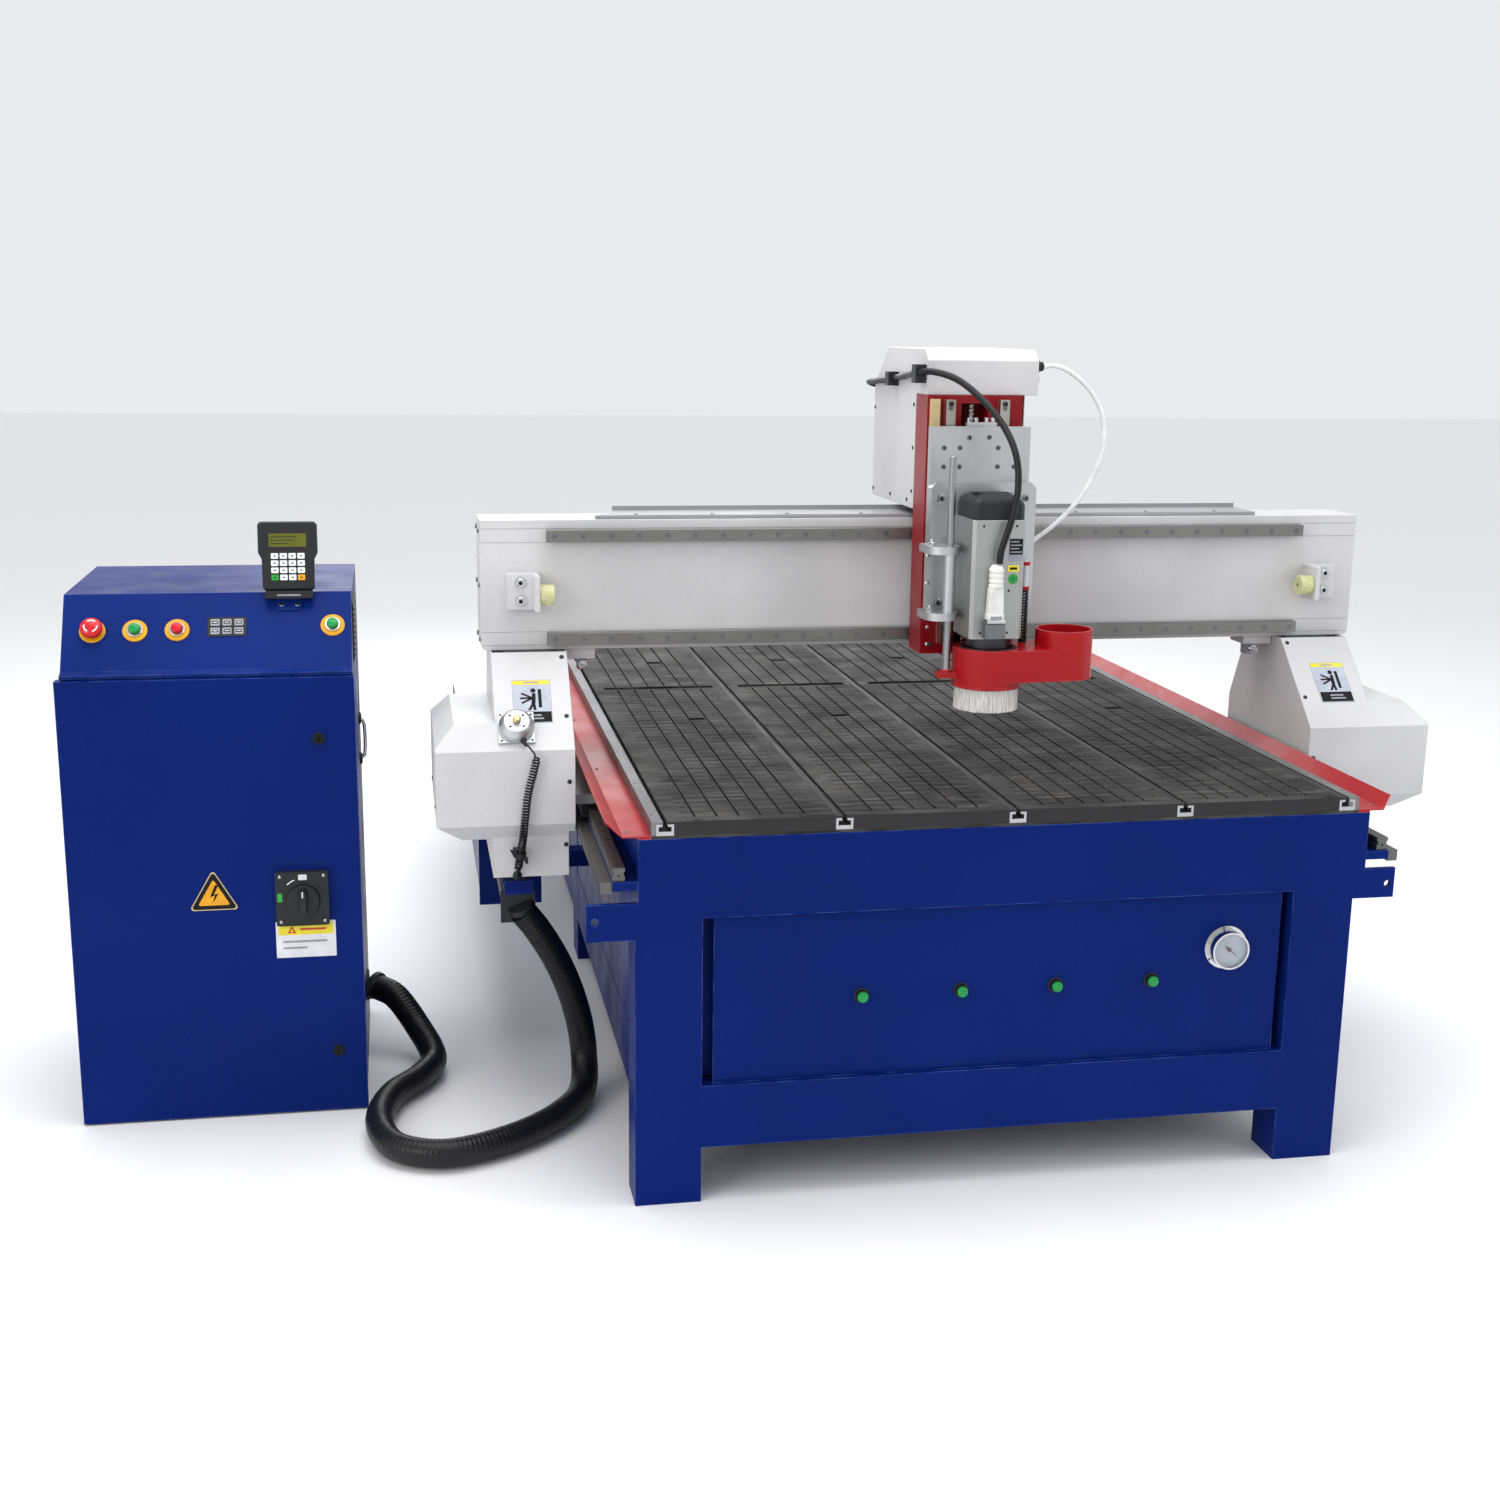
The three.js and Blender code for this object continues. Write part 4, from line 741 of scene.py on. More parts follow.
def board_half(piece, slot, y0, y1, bridge, pitch, depth):
    """Half a board, right of the track slot at x = slot: plain rims and the grooved field between them."""
    left, right = slot + 4.2, slot + TRACK_PITCH - 16.2
    field = (slot + GRID[0], slot + GRID[1])
    piece.box((slot + 17.4, y0, 747.5), (slot + TRACK_PITCH - 17.4, y1, GROOVE_FLOOR), "pvc_board")
    near, far = (y0 + 28, y1 - 12) if y0 < 10 else (y0 + 1, y1 - 28)
    for low, high in (((left, y0), (field[0], y1)), ((field[1], y0), (right, y1)),
                      ((field[0], y0), (field[1], near)), ((field[0], far), (field[1], y1))):
        piece.box((*low, GROOVE_FLOOR + 0.6), (*high, BED_TOP), "pvc_board")
    edges = [field[0]] + [slot + g for g in GROOVES] + [field[1]]
    for k in range(len(edges) - 1):
        x0 = edges[k] + (2.6 if k else 0)
        x1 = edges[k + 1] - (2.6 if k < len(edges) - 2 else 0)
        if k == 4:
            groove_strip(piece, x0, x1, near, bridge - 14, pitch, depth)
            groove_strip(piece, x0, x1, bridge + 14, far, pitch, depth)
        else:
            groove_strip(piece, x0, x1, near, far, pitch, depth)
    # Dark sheets on the floors of the cross slot and the deep grooves: painted shade.
    piece.box((slot + GROOVES[3], bridge - 16, GROOVE_FLOOR - 0.2),
              (slot + GROOVES[4], bridge + 16, GROOVE_FLOOR + 0.1), "board_slot_shade")
    for g in GROOVES:
        piece.box((slot + g - 2.6, near, GROOVE_FLOOR - 0.2), (slot + g + 2.6, far, GROOVE_FLOOR + 0.1),
                  "board_slot_shade")


def make_boards():
    piece = Piece("vacuum_boards", "pvc_board")
    piece.box((-BED_EDGE, 0, 742.5), (BED_EDGE, BED_LENGTH, 747.4))
    middle = BED_LENGTH / 2
    for slot in TRACKS[:4]:
        board_half(piece, slot, 0, middle - 15, 919, 35, 1.3)
        board_half(piece, slot, middle + 15, BED_LENGTH, 1671, 70, 0.5)
        # A dark sheet on the zone break's floor: painted shade in the recess.
        piece.box((slot + 22, middle - 15.2, 747.5),
                  (slot + TRACK_PITCH - 22, middle + 15.2, GROOVE_FLOOR - 3), "board_slot_shade")
        for x0, x1 in ((4.2, 30), (310, TRACK_PITCH - 16.2)):
            piece.box((slot + x0, middle - 15.2, GROOVE_FLOOR + 0.6), (slot + x1, middle + 15.2, BED_TOP))
        piece.box((slot + 17.4, -0.3, 747.5), (slot + TRACK_PITCH - 17.4, 0.2, GROOVE_FLOOR), "board_edge")
        piece.box((slot + 4.2, -0.3, GROOVE_FLOOR), (slot + TRACK_PITCH - 16.2, 0.2, BED_TOP - 0.2),
                  "board_edge")
    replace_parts(piece.place("machine", "pvc_board", 0.3, 1), "vacuum_bed")


def make_tracks():
    """T-slot extrusions let into the boards: a bright end, a darker lip left of the slot on all but the
    leftmost track, and a dark sheet on the slot's floor as painted shade.
    """
    piece = Piece("t_slot_extrusions", "track_alu")
    profile = [(-17, 748), (17, 748), (17, 770.4), (5, 770.4), (5, 765.5), (12, 765.5), (12, 756),
               (-12, 756), (-12, 765.5), (-5, 765.5), (-5, 770.4), (-17, 770.4)]
    for track, x in enumerate(TRACKS):
        piece.loft([[(x + u, y, z) for u, z in profile] for y in (0, BED_LENGTH)], "aluminium_y")
        # A dark sheet on the slot's floor: painted shade.
        piece.box((x - 11.5, 3, 756.1), (x + 11.5, BED_LENGTH, 757), "board_slot_shade")
        lip = (-26 if track == 0 else -16, -4)
        piece.box((x + lip[0], 1, 770.5), (x + lip[1] - 0.8, BED_LENGTH, 774.6),
                  "track_alu" if track == 0 else "darker_lip_aluminium")
        piece.box((x + lip[1] - 0.8, 1, 770.5), (x + lip[1], BED_LENGTH, 775))
        if track == 4:
            piece.box((x + 4, 1, 748), (x + 26, BED_LENGTH, 774.8))
        if track == 0:
            piece.box((x - 26, 1, 748), (x - 17, BED_LENGTH, 770.5))
    piece.box((-BED_EDGE, BED_LENGTH + 0.3, 748), (BED_EDGE, BED_LENGTH + 30, BED_TOP), "aluminium_y")
    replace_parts(piece.place("machine", "aluminium", 0.25, 1), "t_slot_tracks")


def make_bed_fasteners():
    piece = Piece("bed_screws", "board_slot_shade")
    for x in (TRACKS[0] - 18, TRACKS[4] + 18):
        for step in range(11):
            counterbore(piece, (x, 60 + step * 250, BED_TOP - 0.2), Z, 3.4)
    # Small dark discs: painted shade in the board's holes.
    for x in TRACKS:
        for step in range(9):
            piece.disc(2.2, -0.2, 0.15, (x + 24, 120 + step * 290, BED_TOP), Z, 14)
            piece.disc(2.2, -0.2, 0.15, (x - 30, 120 + step * 290, BED_TOP), Z, 14)
    for side in (-1, 1):
        for step in range(6):
            pan_screw(piece, (side * 760, 32 + step * 515, 749.3), Z, 4.0)
    piece.place("machine", "rail_steel")


def make_panel_returns():
    """Folded edges behind the gaps at the front panel's two ends."""
    piece = Piece("panel_returns", "blue_paint")
    for side in (-1, 1):
        inner, outer = sorted((side * 572, side * 634))
        piece.box((inner, 46, 246), (outer, 50, 580))
    piece.place("machine", "blue_paint", 0.5)


# ------------------------------------------------------------------ guides and racks
RAIL_X = 777
RAIL_TOP = box_mm("y_rail_left")[1].z


def make_rail_bolts():
    piece = Piece("y_rail_bolts", "black_hole")
    for side in (-1, 1):
        for step in range(51):
            counterbore(piece, (side * RAIL_X, 30 + step * 60, RAIL_TOP), Z, 4.6)
        for y in (5, 3055):
            piece.disc(2.2, 0, 0.3, (side * RAIL_X, y, 672), -Y if y < 100 else Y, 12)
    piece.place("machine", "rail_steel")
    piece = Piece("x_rail_bolts")
    face = box_mm("x_rail_lower")[0].y
    for z in (1022.5, 1242.5):
        for step in range(29):
            counterbore(piece, (-840 + step * 60, face, z), -Y, 5.4)
    piece.place("gantry", "rail_steel")


def make_racks():
    """Toothed racks in place of the plain bars; the teeth point down at the pinions."""
    tooth = 2 * pi * 17.4 / 18
    for side, name in SIDES:
        low, high = box_mm(f"y_rack_{name}")
        piece = Piece(f"toothed_rack_{name}", "rail_y")
        root = low.z + 4
        piece.box((low.x, low.y, root), (high.x, high.y, high.z))
        for i in range(int((high.y - low.y) / tooth)):
            y = low.y + i * tooth
            base = [(low.x, y, root), (high.x, y, root), (high.x, y + tooth * 0.72, root),
                    (low.x, y + tooth * 0.72, root)]
            tip = [(x, y + tooth * (0.2 if k < 2 else 0.52), low.z) for k, (x, _, _) in enumerate(base)]
            piece.loft([base, tip])
        for step in range(25):
            socket_screw(piece, ((high.x if side > 0 else low.x), 60 + step * 120, root + 9), X * side, 3.4,
                         0.6)
        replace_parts(piece.place("machine", "rail_steel", angle=20), f"y_rack_{name}")


# ------------------------------------------------------------------ front panel
def make_gauge_face():
    x, _, z = middle_of("vacuum_gauge")
    piece = Piece("gauge_dial", "dial_white")
    piece.disc(34.5, -0.2, 0.4, (x, -4, z), -Y, 48)
    for tick in range(31):
        angle = radians(225 - tick * 9)
        major = tick % 5 == 0
        ahead = Vector((cos(angle), 0, sin(angle)))
        wide = 0.55 if major else 0.25
        inner = 24 if major else 27
        across = ahead.cross(Y)
        piece.plate(rect(-wide, wide, inner, 30), (x, -4.35, z), 0.25, "black_hole", across=across,
                    up=ahead)
    piece.place("machine", "white_paint")
    piece = Piece("gauge_glass", "glass")
    piece.turned([(34.6, 0), (34.6, 1.2), (33, 1.8), (0.5, 2.4)], (x, -14, z), -Y, 48)
    piece.place("machine", "clear_tube")
    piece = Piece("gauge_screws")
    for angle in (100, 215, 335):
        a = radians(angle)
        pan_screw(piece, (x + 42 * cos(a), 8, z + 42 * sin(a)), -Y, 2.2, "dark_steel")
    piece.place("machine", "black_paint")


def make_zone_lamps():
    for i in range(4):
        x, _, z = middle_of(f"zone_button_{i + 1}")
        lens = Piece(f"zone_lens_{i + 1}", "green_lens")
        dome = [(6, -7), (11, -2), (11, 2), (10.2, 4), (8, 5.4), (4.5, 6), (0.4, 6.1)]
        lens.turned(dome, (x, 0, z), -Y)
        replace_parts(lens.place(f"zone_{i + 1}", "green_lens", angle=60), f"zone_button_{i + 1}")
        rim = Piece(f"zone_bezel_{i + 1}", "black_plastic")
        rim.turned([(15.5, 0), (15.5, 1.8), (14.5, 2.8), (12.4, 2.8), (12, 0)], (x, 12, z), -Y)
        rim.disc(11.7, 0, 9.5, (x, 12, z), -Y)
        rim.place("machine", "black_plastic")


# ------------------------------------------------------------------ gantry
BEAM_FACE = 623


def make_beam_details():
    end = box_mm("gantry_beam")[1].x
    face = BEAM_FACE
    # Thin grey strips along the rail seats' edges: painted shadow lines.
    piece = Piece("beam_shadow_lines", "grey_steel")
    for z in (1008.5, 1037, 1228, 1257):
        piece.box((-994, face - 0.25, z - 0.5), (994, face + 0.5, z + 0.5))
    piece.place("gantry", "grey_steel")
    piece = Piece("buffer_screws", "chrome")
    for side in (-1, 1):
        for z in (1107, 1146):
            piece.disc(13, 0, 1.6, (side * 914, face - 24, z), -Y, 28)
            socket_screw(piece, (side * 914, face - 25.6, z), -Y, 9.5, 7, "chrome")
        socket_screw(piece, (side * 843.6, 583, 1122), X * -side, 6.5, -0.6, "dark_steel")
    piece.place("gantry", "chrome", 0.3)
    piece = Piece("limit_switches", "white_paint")
    for x0, x1, z0, z1, sensor in ((-817, -753, 974, 997, -781), (747, 816, 978, 997.5, 766)):
        piece.box((x0, 636, z0), (x1, 706, z1))
        piece.turned([(9, 0), (9, 3), (7, 3), (7, 22), (9, 22), (9, 27), (6, 27), (6, 40)],
                     (sensor, 650, z0 - 10), -Y, 20, "chrome")
        piece.box((sensor - 10, 640, z0 - 24), (sensor + 10, 668, z0), "grey_steel")
        piece.disc(5.4, 0, 4, (sensor, 611, z0 - 10), -Y, 20, "label_grey")
    piece.place("gantry", "white_paint", 0.8)
    piece = Piece("beam_end_screws")
    for side in (-1, 1):
        for y in (645, 735):
            for z in (1020, 1136, 1252):
                socket_screw(piece, (side * end, y, z), X * side, 5.5, 4)
    piece.place("gantry", "chrome", 0.3)
    low, high = box_mm("beam_shelf")
    piece = Piece("shelf_lip", "grey_steel")
    piece.box((low.x + 50, high.y - 4, low.z), (high.x, high.y, high.z + 9))
    for step in range(9):
        pan_screw(piece, (low.x + 90 + step * 165, low.y + 14, high.z), Z, 5)
    piece.place("gantry", "grey_steel", 0.6)


def caution_plate(piece, x0, x1, v0, v1, origin, up):
    """A generic hazard plate: yellow head, a plain pictogram of a hand at a roller, and a black foot."""
    def patch(u0, u1, w0, w1, lift, material):
        outline = rect(u0, u1, w0, w1)
        piece.plate(outline, origin, lift, material, up=up)

    patch(x0, x1, v0, v1, 0.3, "label_grey")
    patch(x0 + 1, x1 - 1, v0 + 1, v1 - 1, 0.45, "label_blue")
    patch(x0 + 1.5, x1 - 1.5, v1 - 12, v1 - 1.5, 0.6, "label_yellow")
    patch(x0 + 24, x1 - 24, v1 - 8.5, v1 - 5, 0.75, "label_grey")
    patch(x0 + 3, x1 - 1.5, v0 + 2, v0 + 28, 0.6, "black_hole")
    for row in (9, 17):
        patch(x0 + 26, x1 - 14 - row * 0.5, v0 + row, v0 + row + 4, 0.75, "label_grey")
    mid = (x0 + x1) / 2
    base = v0 + 38
    patch(mid + 13, mid + 20, base, base + 46, 0.65, "black_hole")
    piece.plate(circle(5.5, 16, mid + 3, base + 43), origin, 0.65, "black_hole", up=up)
    piece.plate([(mid - 2, base + 10), (mid + 7, base + 12), (mid + 8, base + 36), (mid + 1, base + 36)],
                origin, 0.65, "black_hole", up=up)
    for tilt in (-0.5, 0.0, 0.5):
        reach = rect(-26, 0, -2.2, 2.2)
        c, s = cos(tilt), sin(tilt)
        outline = [(mid + 1 + u * c - v * s, base + 24 + u * s + v * c) for u, v in reach]
        piece.plate(outline, origin, 0.65, "black_hole", up=up)
    for lean in (-7, 5):
        outline = [(mid + lean - 3, base - 6), (mid + lean + 3, base - 6), (mid + 6, base + 12),
                   (mid, base + 12)]
        piece.plate(outline, origin, 0.65, "black_hole", up=up)


SLOPE_UP = (Y + Z).normalized()
SLOPE_OUT = (Z - Y).normalized()


def on_slope(x, z):
    """A point on the leg covers' 45 degree front slope."""
    return (x, 419 + z - 823, z)


def make_leg_details():
    for side, name in SIDES:
        piece = Piece(f"leg_screws_{name}")
        for z in (988, 882):
            pan_screw(piece, on_slope(side * 830, z), SLOPE_OUT, 5, "dark_steel")
        pan_screw(piece, (side * 830, 419, 755), -Y, 5, "dark_steel")
        pan_screw(piece, (side * 836, 450, 612), -Y, 5, "dark_steel")
        for y, z in ((500, 690), (760, 690), (700, 850), (800, 850)):
            pan_screw(piece, (side * (1104 if z < 829 else 979), y, z), X * side, 5, "dark_steel")
        piece.place("gantry", "black_paint")
        piece = Piece(f"hazard_plate_{name}")
        inner, outer = (-939, -859) if side < 0 else (866, 946)
        caution_plate(piece, inner, outer, 0, 108, on_slope(0, 871), SLOPE_UP)
        piece.place("gantry", "white_paint")
        piece = Piece(f"block_seals_{name}", "black_plastic")
        for y in (470, 558, 705, 793):
            wide = (-2.5, 3.5) if y in (470, 705) else (-3.5, 2.5)
            top = RAIL_TOP + 1.2
            piece.box((side * RAIL_X - 23, y + wide[0], top), (side * RAIL_X + 23, y + wide[1], 696))
            for edge in (-1, 1):
                inner, outer = sorted((side * RAIL_X + edge * 13.4, side * RAIL_X + edge * 23))
                piece.box((inner, y + wide[0], 668), (outer, y + wide[1], top))
        piece.place("gantry", "black_plastic", 0.5)


SETTER_FOOT = Vector((-936, 457, 861.45))


def on_setter(u, v, lift):
    """A point on the tool setter: u across, v up the slope, lift off the slope."""
    return SETTER_FOOT + X * u + SLOPE_UP * v + SLOPE_OUT * lift


def make_setter_details():
    piece = Piece("setter_button", "brass")
    piece.turned([(7, 21), (7, 36), (8.6, 36.4), (8.6, 39.6), (7.4, 41.2), (4, 41.9), (0.4, 42)],
                 SETTER_FOOT, SLOPE_OUT, 36)
    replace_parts(piece.place("plunger", "brass", angle=50), "setter_plunger")
    piece = Piece("setter_fasteners", "black_plastic")
    piece.turned([(13, 30.8), (13, 32), (10.4, 32.6), (9.1, 32.6)], SETTER_FOOT, SLOPE_OUT, 36, "aluminium")
    for u in (-1, 1):
        for v in (-1, 1):
            piece.disc(2.6, 30.8, 31.4, on_setter(u * 13.5, v * 13.5, 0), SLOPE_OUT, 16, "black_hole")
            pan_screw(piece, on_setter(u * 31.5, v * 31.5, 6), SLOPE_OUT, 2.8, "bolt")
    piece.turned([(6.5, -6), (6.5, 3), (5, 5), (3.4, 12), (2.4, 16)], on_setter(12, -35, 12),
                 (0.35, -0.62, -0.7), 20)
    piece.turned([(9.5, -2), (9.5, 3), (6.5, 5), (3.2, 8)], (-939, 449, 549), -Y, 20)
    piece.place("gantry", "black_plastic")
    piece = Piece("setter_cord_clip", "black_plastic")
    ahead = (-0.1, 0.3, -1)
    piece.turned([(10.6, -6), (12, -5), (12, 5), (10.6, 6)], (-933, 424, 600), ahead, 20)
    piece.box((-948, 426, 596), (-922, 450, 610))
    for x, z in ((-949, 604), (-925, 590)):
        piece.loft([[(x - 6, 414, z + 9), (x + 7, 414, z + 5), (x + 7, 426, z + 5), (x - 6, 426, z + 9)],
                    [(x + 2, 414, z - 7), (x + 7, 414, z - 7), (x + 7, 426, z - 7), (x + 2, 426, z - 7)]])
    piece.place("gantry", "black_plastic", 0.6)


# ------------------------------------------------------------------ carriage and Z axis
def make_screw_thread():
    """Ball screw with a rounded helical groove, in place of the plain rod."""
    low, high = box_mm("z_screw")
    x, y, _ = middle_of("z_screw")
    piece = Piece("ball_screw_thread", "rail_z")
    sides, lead, step = 20, 10, 1.6
    z0, z1 = low.z + 9, high.z - 20
    rings = []
    for k in range(int((z1 - z0) / step) + 1):
        z = z0 + k * step
        ring = []
        for i in range(sides):
            turn = i / sides
            wave = 0.5 + 0.5 * cos(2 * pi * (z / lead - turn))
            r = 10 - 2.2 * wave * wave
            ring.append((x + r * cos(2 * pi * turn), y + r * sin(2 * pi * turn), z))
        rings.append(ring)
    piece.loft(rings)
    for a, b in ((low.z, z0), (z1, high.z)):
        piece.turned([(6, a), (6.5, a + 0.5), (6.5, b)], (x, y, 0), Z, 24)
    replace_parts(piece.place("ball_screw", "rail_steel", angle=60), "z_screw")


def make_column_details():
    piece = Piece("column_strip", "cream_strip")
    piece.box((-61, 489, 1290), (-41, 499.7, 1536))
    for z in (1015, 1052):
        pan_screw(piece, (-50, 500, z), -Y, 4.2, "chrome")
    piece.place("carriage", "white_paint", 0.8)
    piece = Piece("z_guide_rails", "rail_z")
    section = [(-10.3, 499.8), (-10.3, 492), (-8, 489), (-8, 485), (-10.3, 482), (-10.3, 477.7),
               (10.3, 477.7), (10.3, 482), (8, 485), (8, 489), (10.3, 492), (10.3, 499.8)]
    for s in (-1, 1):
        x = 38 + s * 59
        piece.loft([[(x + u, y, z) for u, y in section] for z in (1019.8, 1535.4)])
        for step in range(9):
            counterbore(piece, (x, 477.7, 1054 + step * 58), -Y, 5.2)
        socket_screw(piece, (x, 477.7, 1527), -Y, 5.4, 3.5, "dark_steel")
    for s in (-1, 1):
        socket_screw(piece, (38 + s * 84, 500, 1015), -Y, 5, 3.5)
    piece.place("carriage", "rail_steel")
    piece = Piece("screw_bearing", "black_paint")
    piece.box((10, 503, 1012), (66, 556, 1019))
    piece.place("carriage", "black_paint", 1.0)


def make_hood_details():
    low, high = box_mm("carriage_cover")
    piece = Piece("hood_screws")
    for s, x in ((-1, low.x), (1, high.x)):
        for y, z in ((604, 1520), (604, 1428), (604, 1335), (935, 1314), (780, 1314), (640, 1314),
                     (935, 1500)):
            pan_screw(piece, (x, y, z), X * s, 4.5, "dark_steel")
    piece.place("carriage", "black_paint")
    piece = Piece("cable_clips", "black_plastic")
    for y, z, half in ((531, 1587, 19), (750, 1570.5, 15)):
        piece.box((low.x - 24, y - 15, z - half), (low.x, y + 15, z + half))
        for dx in (-19, -5):
            for dz in (-half + 5, half - 5):
                piece.disc(2.2, 0, 0.4, (low.x + dx, y - 15, z + dz), -Y, 14, "dark_steel")
    piece.place("carriage", "black_plastic", 1.2)
    piece = Piece("cable_entry", "black_plastic")
    piece.turned([(15, -6), (15, 0), (13, 3), (8.5, 5)], (-8, 948, 1531), (0.0, 0.95, 0.2), 24)
    piece.place("carriage", "black_plastic")
    piece = Piece("air_fitting", "black_plastic")
    piece.disc(13, 0, 4, (178, 520, 1604), X, 6)
    piece.turned([(10, 3), (10, 11), (8, 13)], (178, 520, 1604), X, 24)
    piece.turned([(7.5, 12), (7.5, 18), (6.2, 19.5)], (178, 520, 1604), X, 24, "white_plastic")
    piece.turned([(5, 0), (5, 5), (3, 7)], (178, 520, 1578), X, 16, "white_plastic")
    piece.place("carriage", "black_plastic", 0.3)


def make_plate_details():
    piece = Piece("z_plate_bolts", "chrome")
    for x, z in ((11, 1459), (54, 1460), (-43, 1438), (-9, 1438), (74, 1438), (110, 1438),
                 (-43, 1399), (-9, 1399), (74, 1399), (110, 1399)):
        socket_screw(piece, (x, 444, z), -Y, 5.6, 1.2)
    for x in (-55, 128):
        for z in (1336, 1118):
            piece.disc(9.5, 0, 1.5, (x, 415, z), -Y, 24)
            socket_screw(piece, (x, 413.5, z), -Y, 6.8, 5)
    piece.place("z_slide", "chrome")
    piece = Piece("screw_nut_flange", "aluminium")
    piece.box((6, 447, 1482), (70, 463, 1490))
    for x in (13, 27, 49, 63):
        piece.turned([(5, 0), (5, 9), (4, 10)], (x, 455, 1490), Z, 6, "chrome")
    piece.place("z_slide", "aluminium", 0.6)
    piece = Piece("guide_rod_bolts", "chrome")
    for x, y, z in ((-38, 384, 1244), (-84, 372, 1244), (-38, 384, 1107), (-84, 372, 1107)):
        piece.disc(8.5, 0, 1.4, (x, y, z), Z, 24)
        piece.turned([(6.8, 1.4), (6.8, 6.2), (6, 6.8)], (x, y, z), Z, 6)
        piece.turned([(3.6, 6), (3.6, 11), (2.8, 12)], (x, y, z), Z, 16)
    for z in (1218, 1160):
        pan_screw(piece, (-78, 415, z), -Y, 5, "chrome")
    piece.place("z_slide", "chrome")


SPINDLE_AXIS = (38, 350, 0)
ROD_AXIS = (-50, 352, 0)


def octagon(half, front, back, cut, inset=0.0):
    """The spindle's section about its axis: a square with its two front edges cut."""
    h, f, b, c = half - inset, front + inset, back - inset, cut
    return [(38 - h + c, f), (38 + h - c, f), (38 + h, f + c), (38 + h, b), (38 - h, b), (38 - h, f + c)]


def make_spindle():
    y0, y1 = 300, 414.7
    piece = Piece("spindle_housing", "spindle_alu")
    sections = [(1057, 1.2), (1058.2, 0), (1300.8, 0), (1302, 1.2)]
    piece.loft([[(x, y, z) for x, y in octagon(56, y0, y1, 7, i)] for z, i in sections])
    for x0, x1 in ((-18.6, -18), (94, 94.6)):
        for y in (322, 342, 362, 382, 402):
            piece.box((x0, y - 1.2, 1062), (x1, y + 1.2, 1297))
    piece.disc(46, 1036.6, 1057, SPINDLE_AXIS, Z, 48, "dark_steel")
    piece.turned([(34, 1034), (40, 1034.4), (40, 1037)], SPINDLE_AXIS, Z, 48, "dark_steel")
    for a in range(6):
        t = pi * a / 3
        socket_screw(piece, (38 + 41 * cos(t), 350 + 41 * sin(t), 1037), -Z, 3, -0.4)
    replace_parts(piece.place("z_slide", "aluminium", 0.5), "spindle_body")
    piece = Piece("spindle_cap", "cap_grey")
    sections = [(1301.8, 1.5), (1330, 1.5), (1338, 4), (1346, 11), (1351, 21), (1353, 31)]
    piece.loft([[(x, y, z) for x, y in octagon(56, y0, y1, 9, i)] for z, i in sections])
    # Black strips on the cap's top: painted shade in its vent slots.
    for k in range(9):
        piece.box((-2 + k * 9, y0 + 34, 1352.2), (3 + k * 9, y1 - 34, 1353.2), "black_hole")
    piece.place("z_slide", "black_plastic", 1.0, 2, 25)
    make_spindle_labels(y0)
    make_connector(y0)


def make_spindle_labels(face):
    piece = Piece("spindle_plates", "black_hole")
    piece.plate(rounded(58, 90, 1218, 1266, 2), (0, face, 0), 0.5, "label_grey")
    piece.plate(rounded(60, 88, 1232, 1264, 1), (0, face, 0), 0.7)
    for row in range(4):
        piece.plate(rect(62, 86 - row % 2 * 6, 1236 + row * 7, 1238.5 + row * 7), (0, face, 0), 0.8,
                    "label_grey")
    piece.plate(rect(58, 82, 1197, 1210), (0, face, 0), 0.5, "label_yellow")
    piece.plate(rect(62, 78, 1201, 1206), (0, face, 0), 0.6)
    piece.plate(circle(10.5, 32, 70, 1182), (0, face, 0), 0.5, "sight_green")
    piece.plate(circle(6, 24, 70, 1182), (0, face, 0), 0.65, "green_lens")
    for x, z in ((62, 1158), (62, 1071), (4, 1071), (4, 1290), (74, 1290)):
        piece.plate(circle(2.4, 12, x, z), (0, face, 0), 0.4)
    piece.place("z_slide", "black_paint")


def make_connector(face):
    """Heavy-duty connector on the spindle's front: bulkhead, lever, hood, ribbed neck and nut."""
    middle = 29
    piece = Piece("connector_base", "connector_metal")
    outline = [(-21, 1062), (21, 1062), (21, 1086), (16, 1101), (-16, 1101), (-21, 1092)]
    piece.plate([(middle + u, z) for u, z in outline], (0, face + 1, 0), 27)
    for x in (-17, 17):
        socket_screw(piece, (middle + x, 274, 1068), -Y, 2.6, 1.0)
    piece.disc(4.5, -19, 19, (middle, 272.5, 1097), X, 16, "chrome")
    piece.place("z_slide", "aluminium", 1.2)
    piece = Piece("connector_hood", "white_plastic")
    rings = []
    sections = [(1101.5, 18, 0), (1112, 18, 0), (1113, 16.5, 1), (1150, 15.5, 1), (1166, 14.5, 1.5)]
    for z, half, inset in sections:
        outline = rounded(middle - half, middle + half, 272 + inset, face - 1 - inset, 5)
        rings.append([(x, y, z) for x, y in outline])
    piece.loft(rings)
    piece.box((middle - 12, 271, 1103), (middle + 12, 273, 1109), "label_grey")
    neck = [(12, 1160)]
    for k in range(4):
        z = 1166 + k * 10.5
        neck += [(13.4, z), (15.4, z + 1.2), (15.4, z + 7.4), (13.4, z + 8.6)]
    neck += [(13, 1208.5), (9.5, 1213)]
    piece.turned(neck, (middle + 1, 286, 0), Z, 28)
    piece.place("z_slide", "white_paint", 0.6)


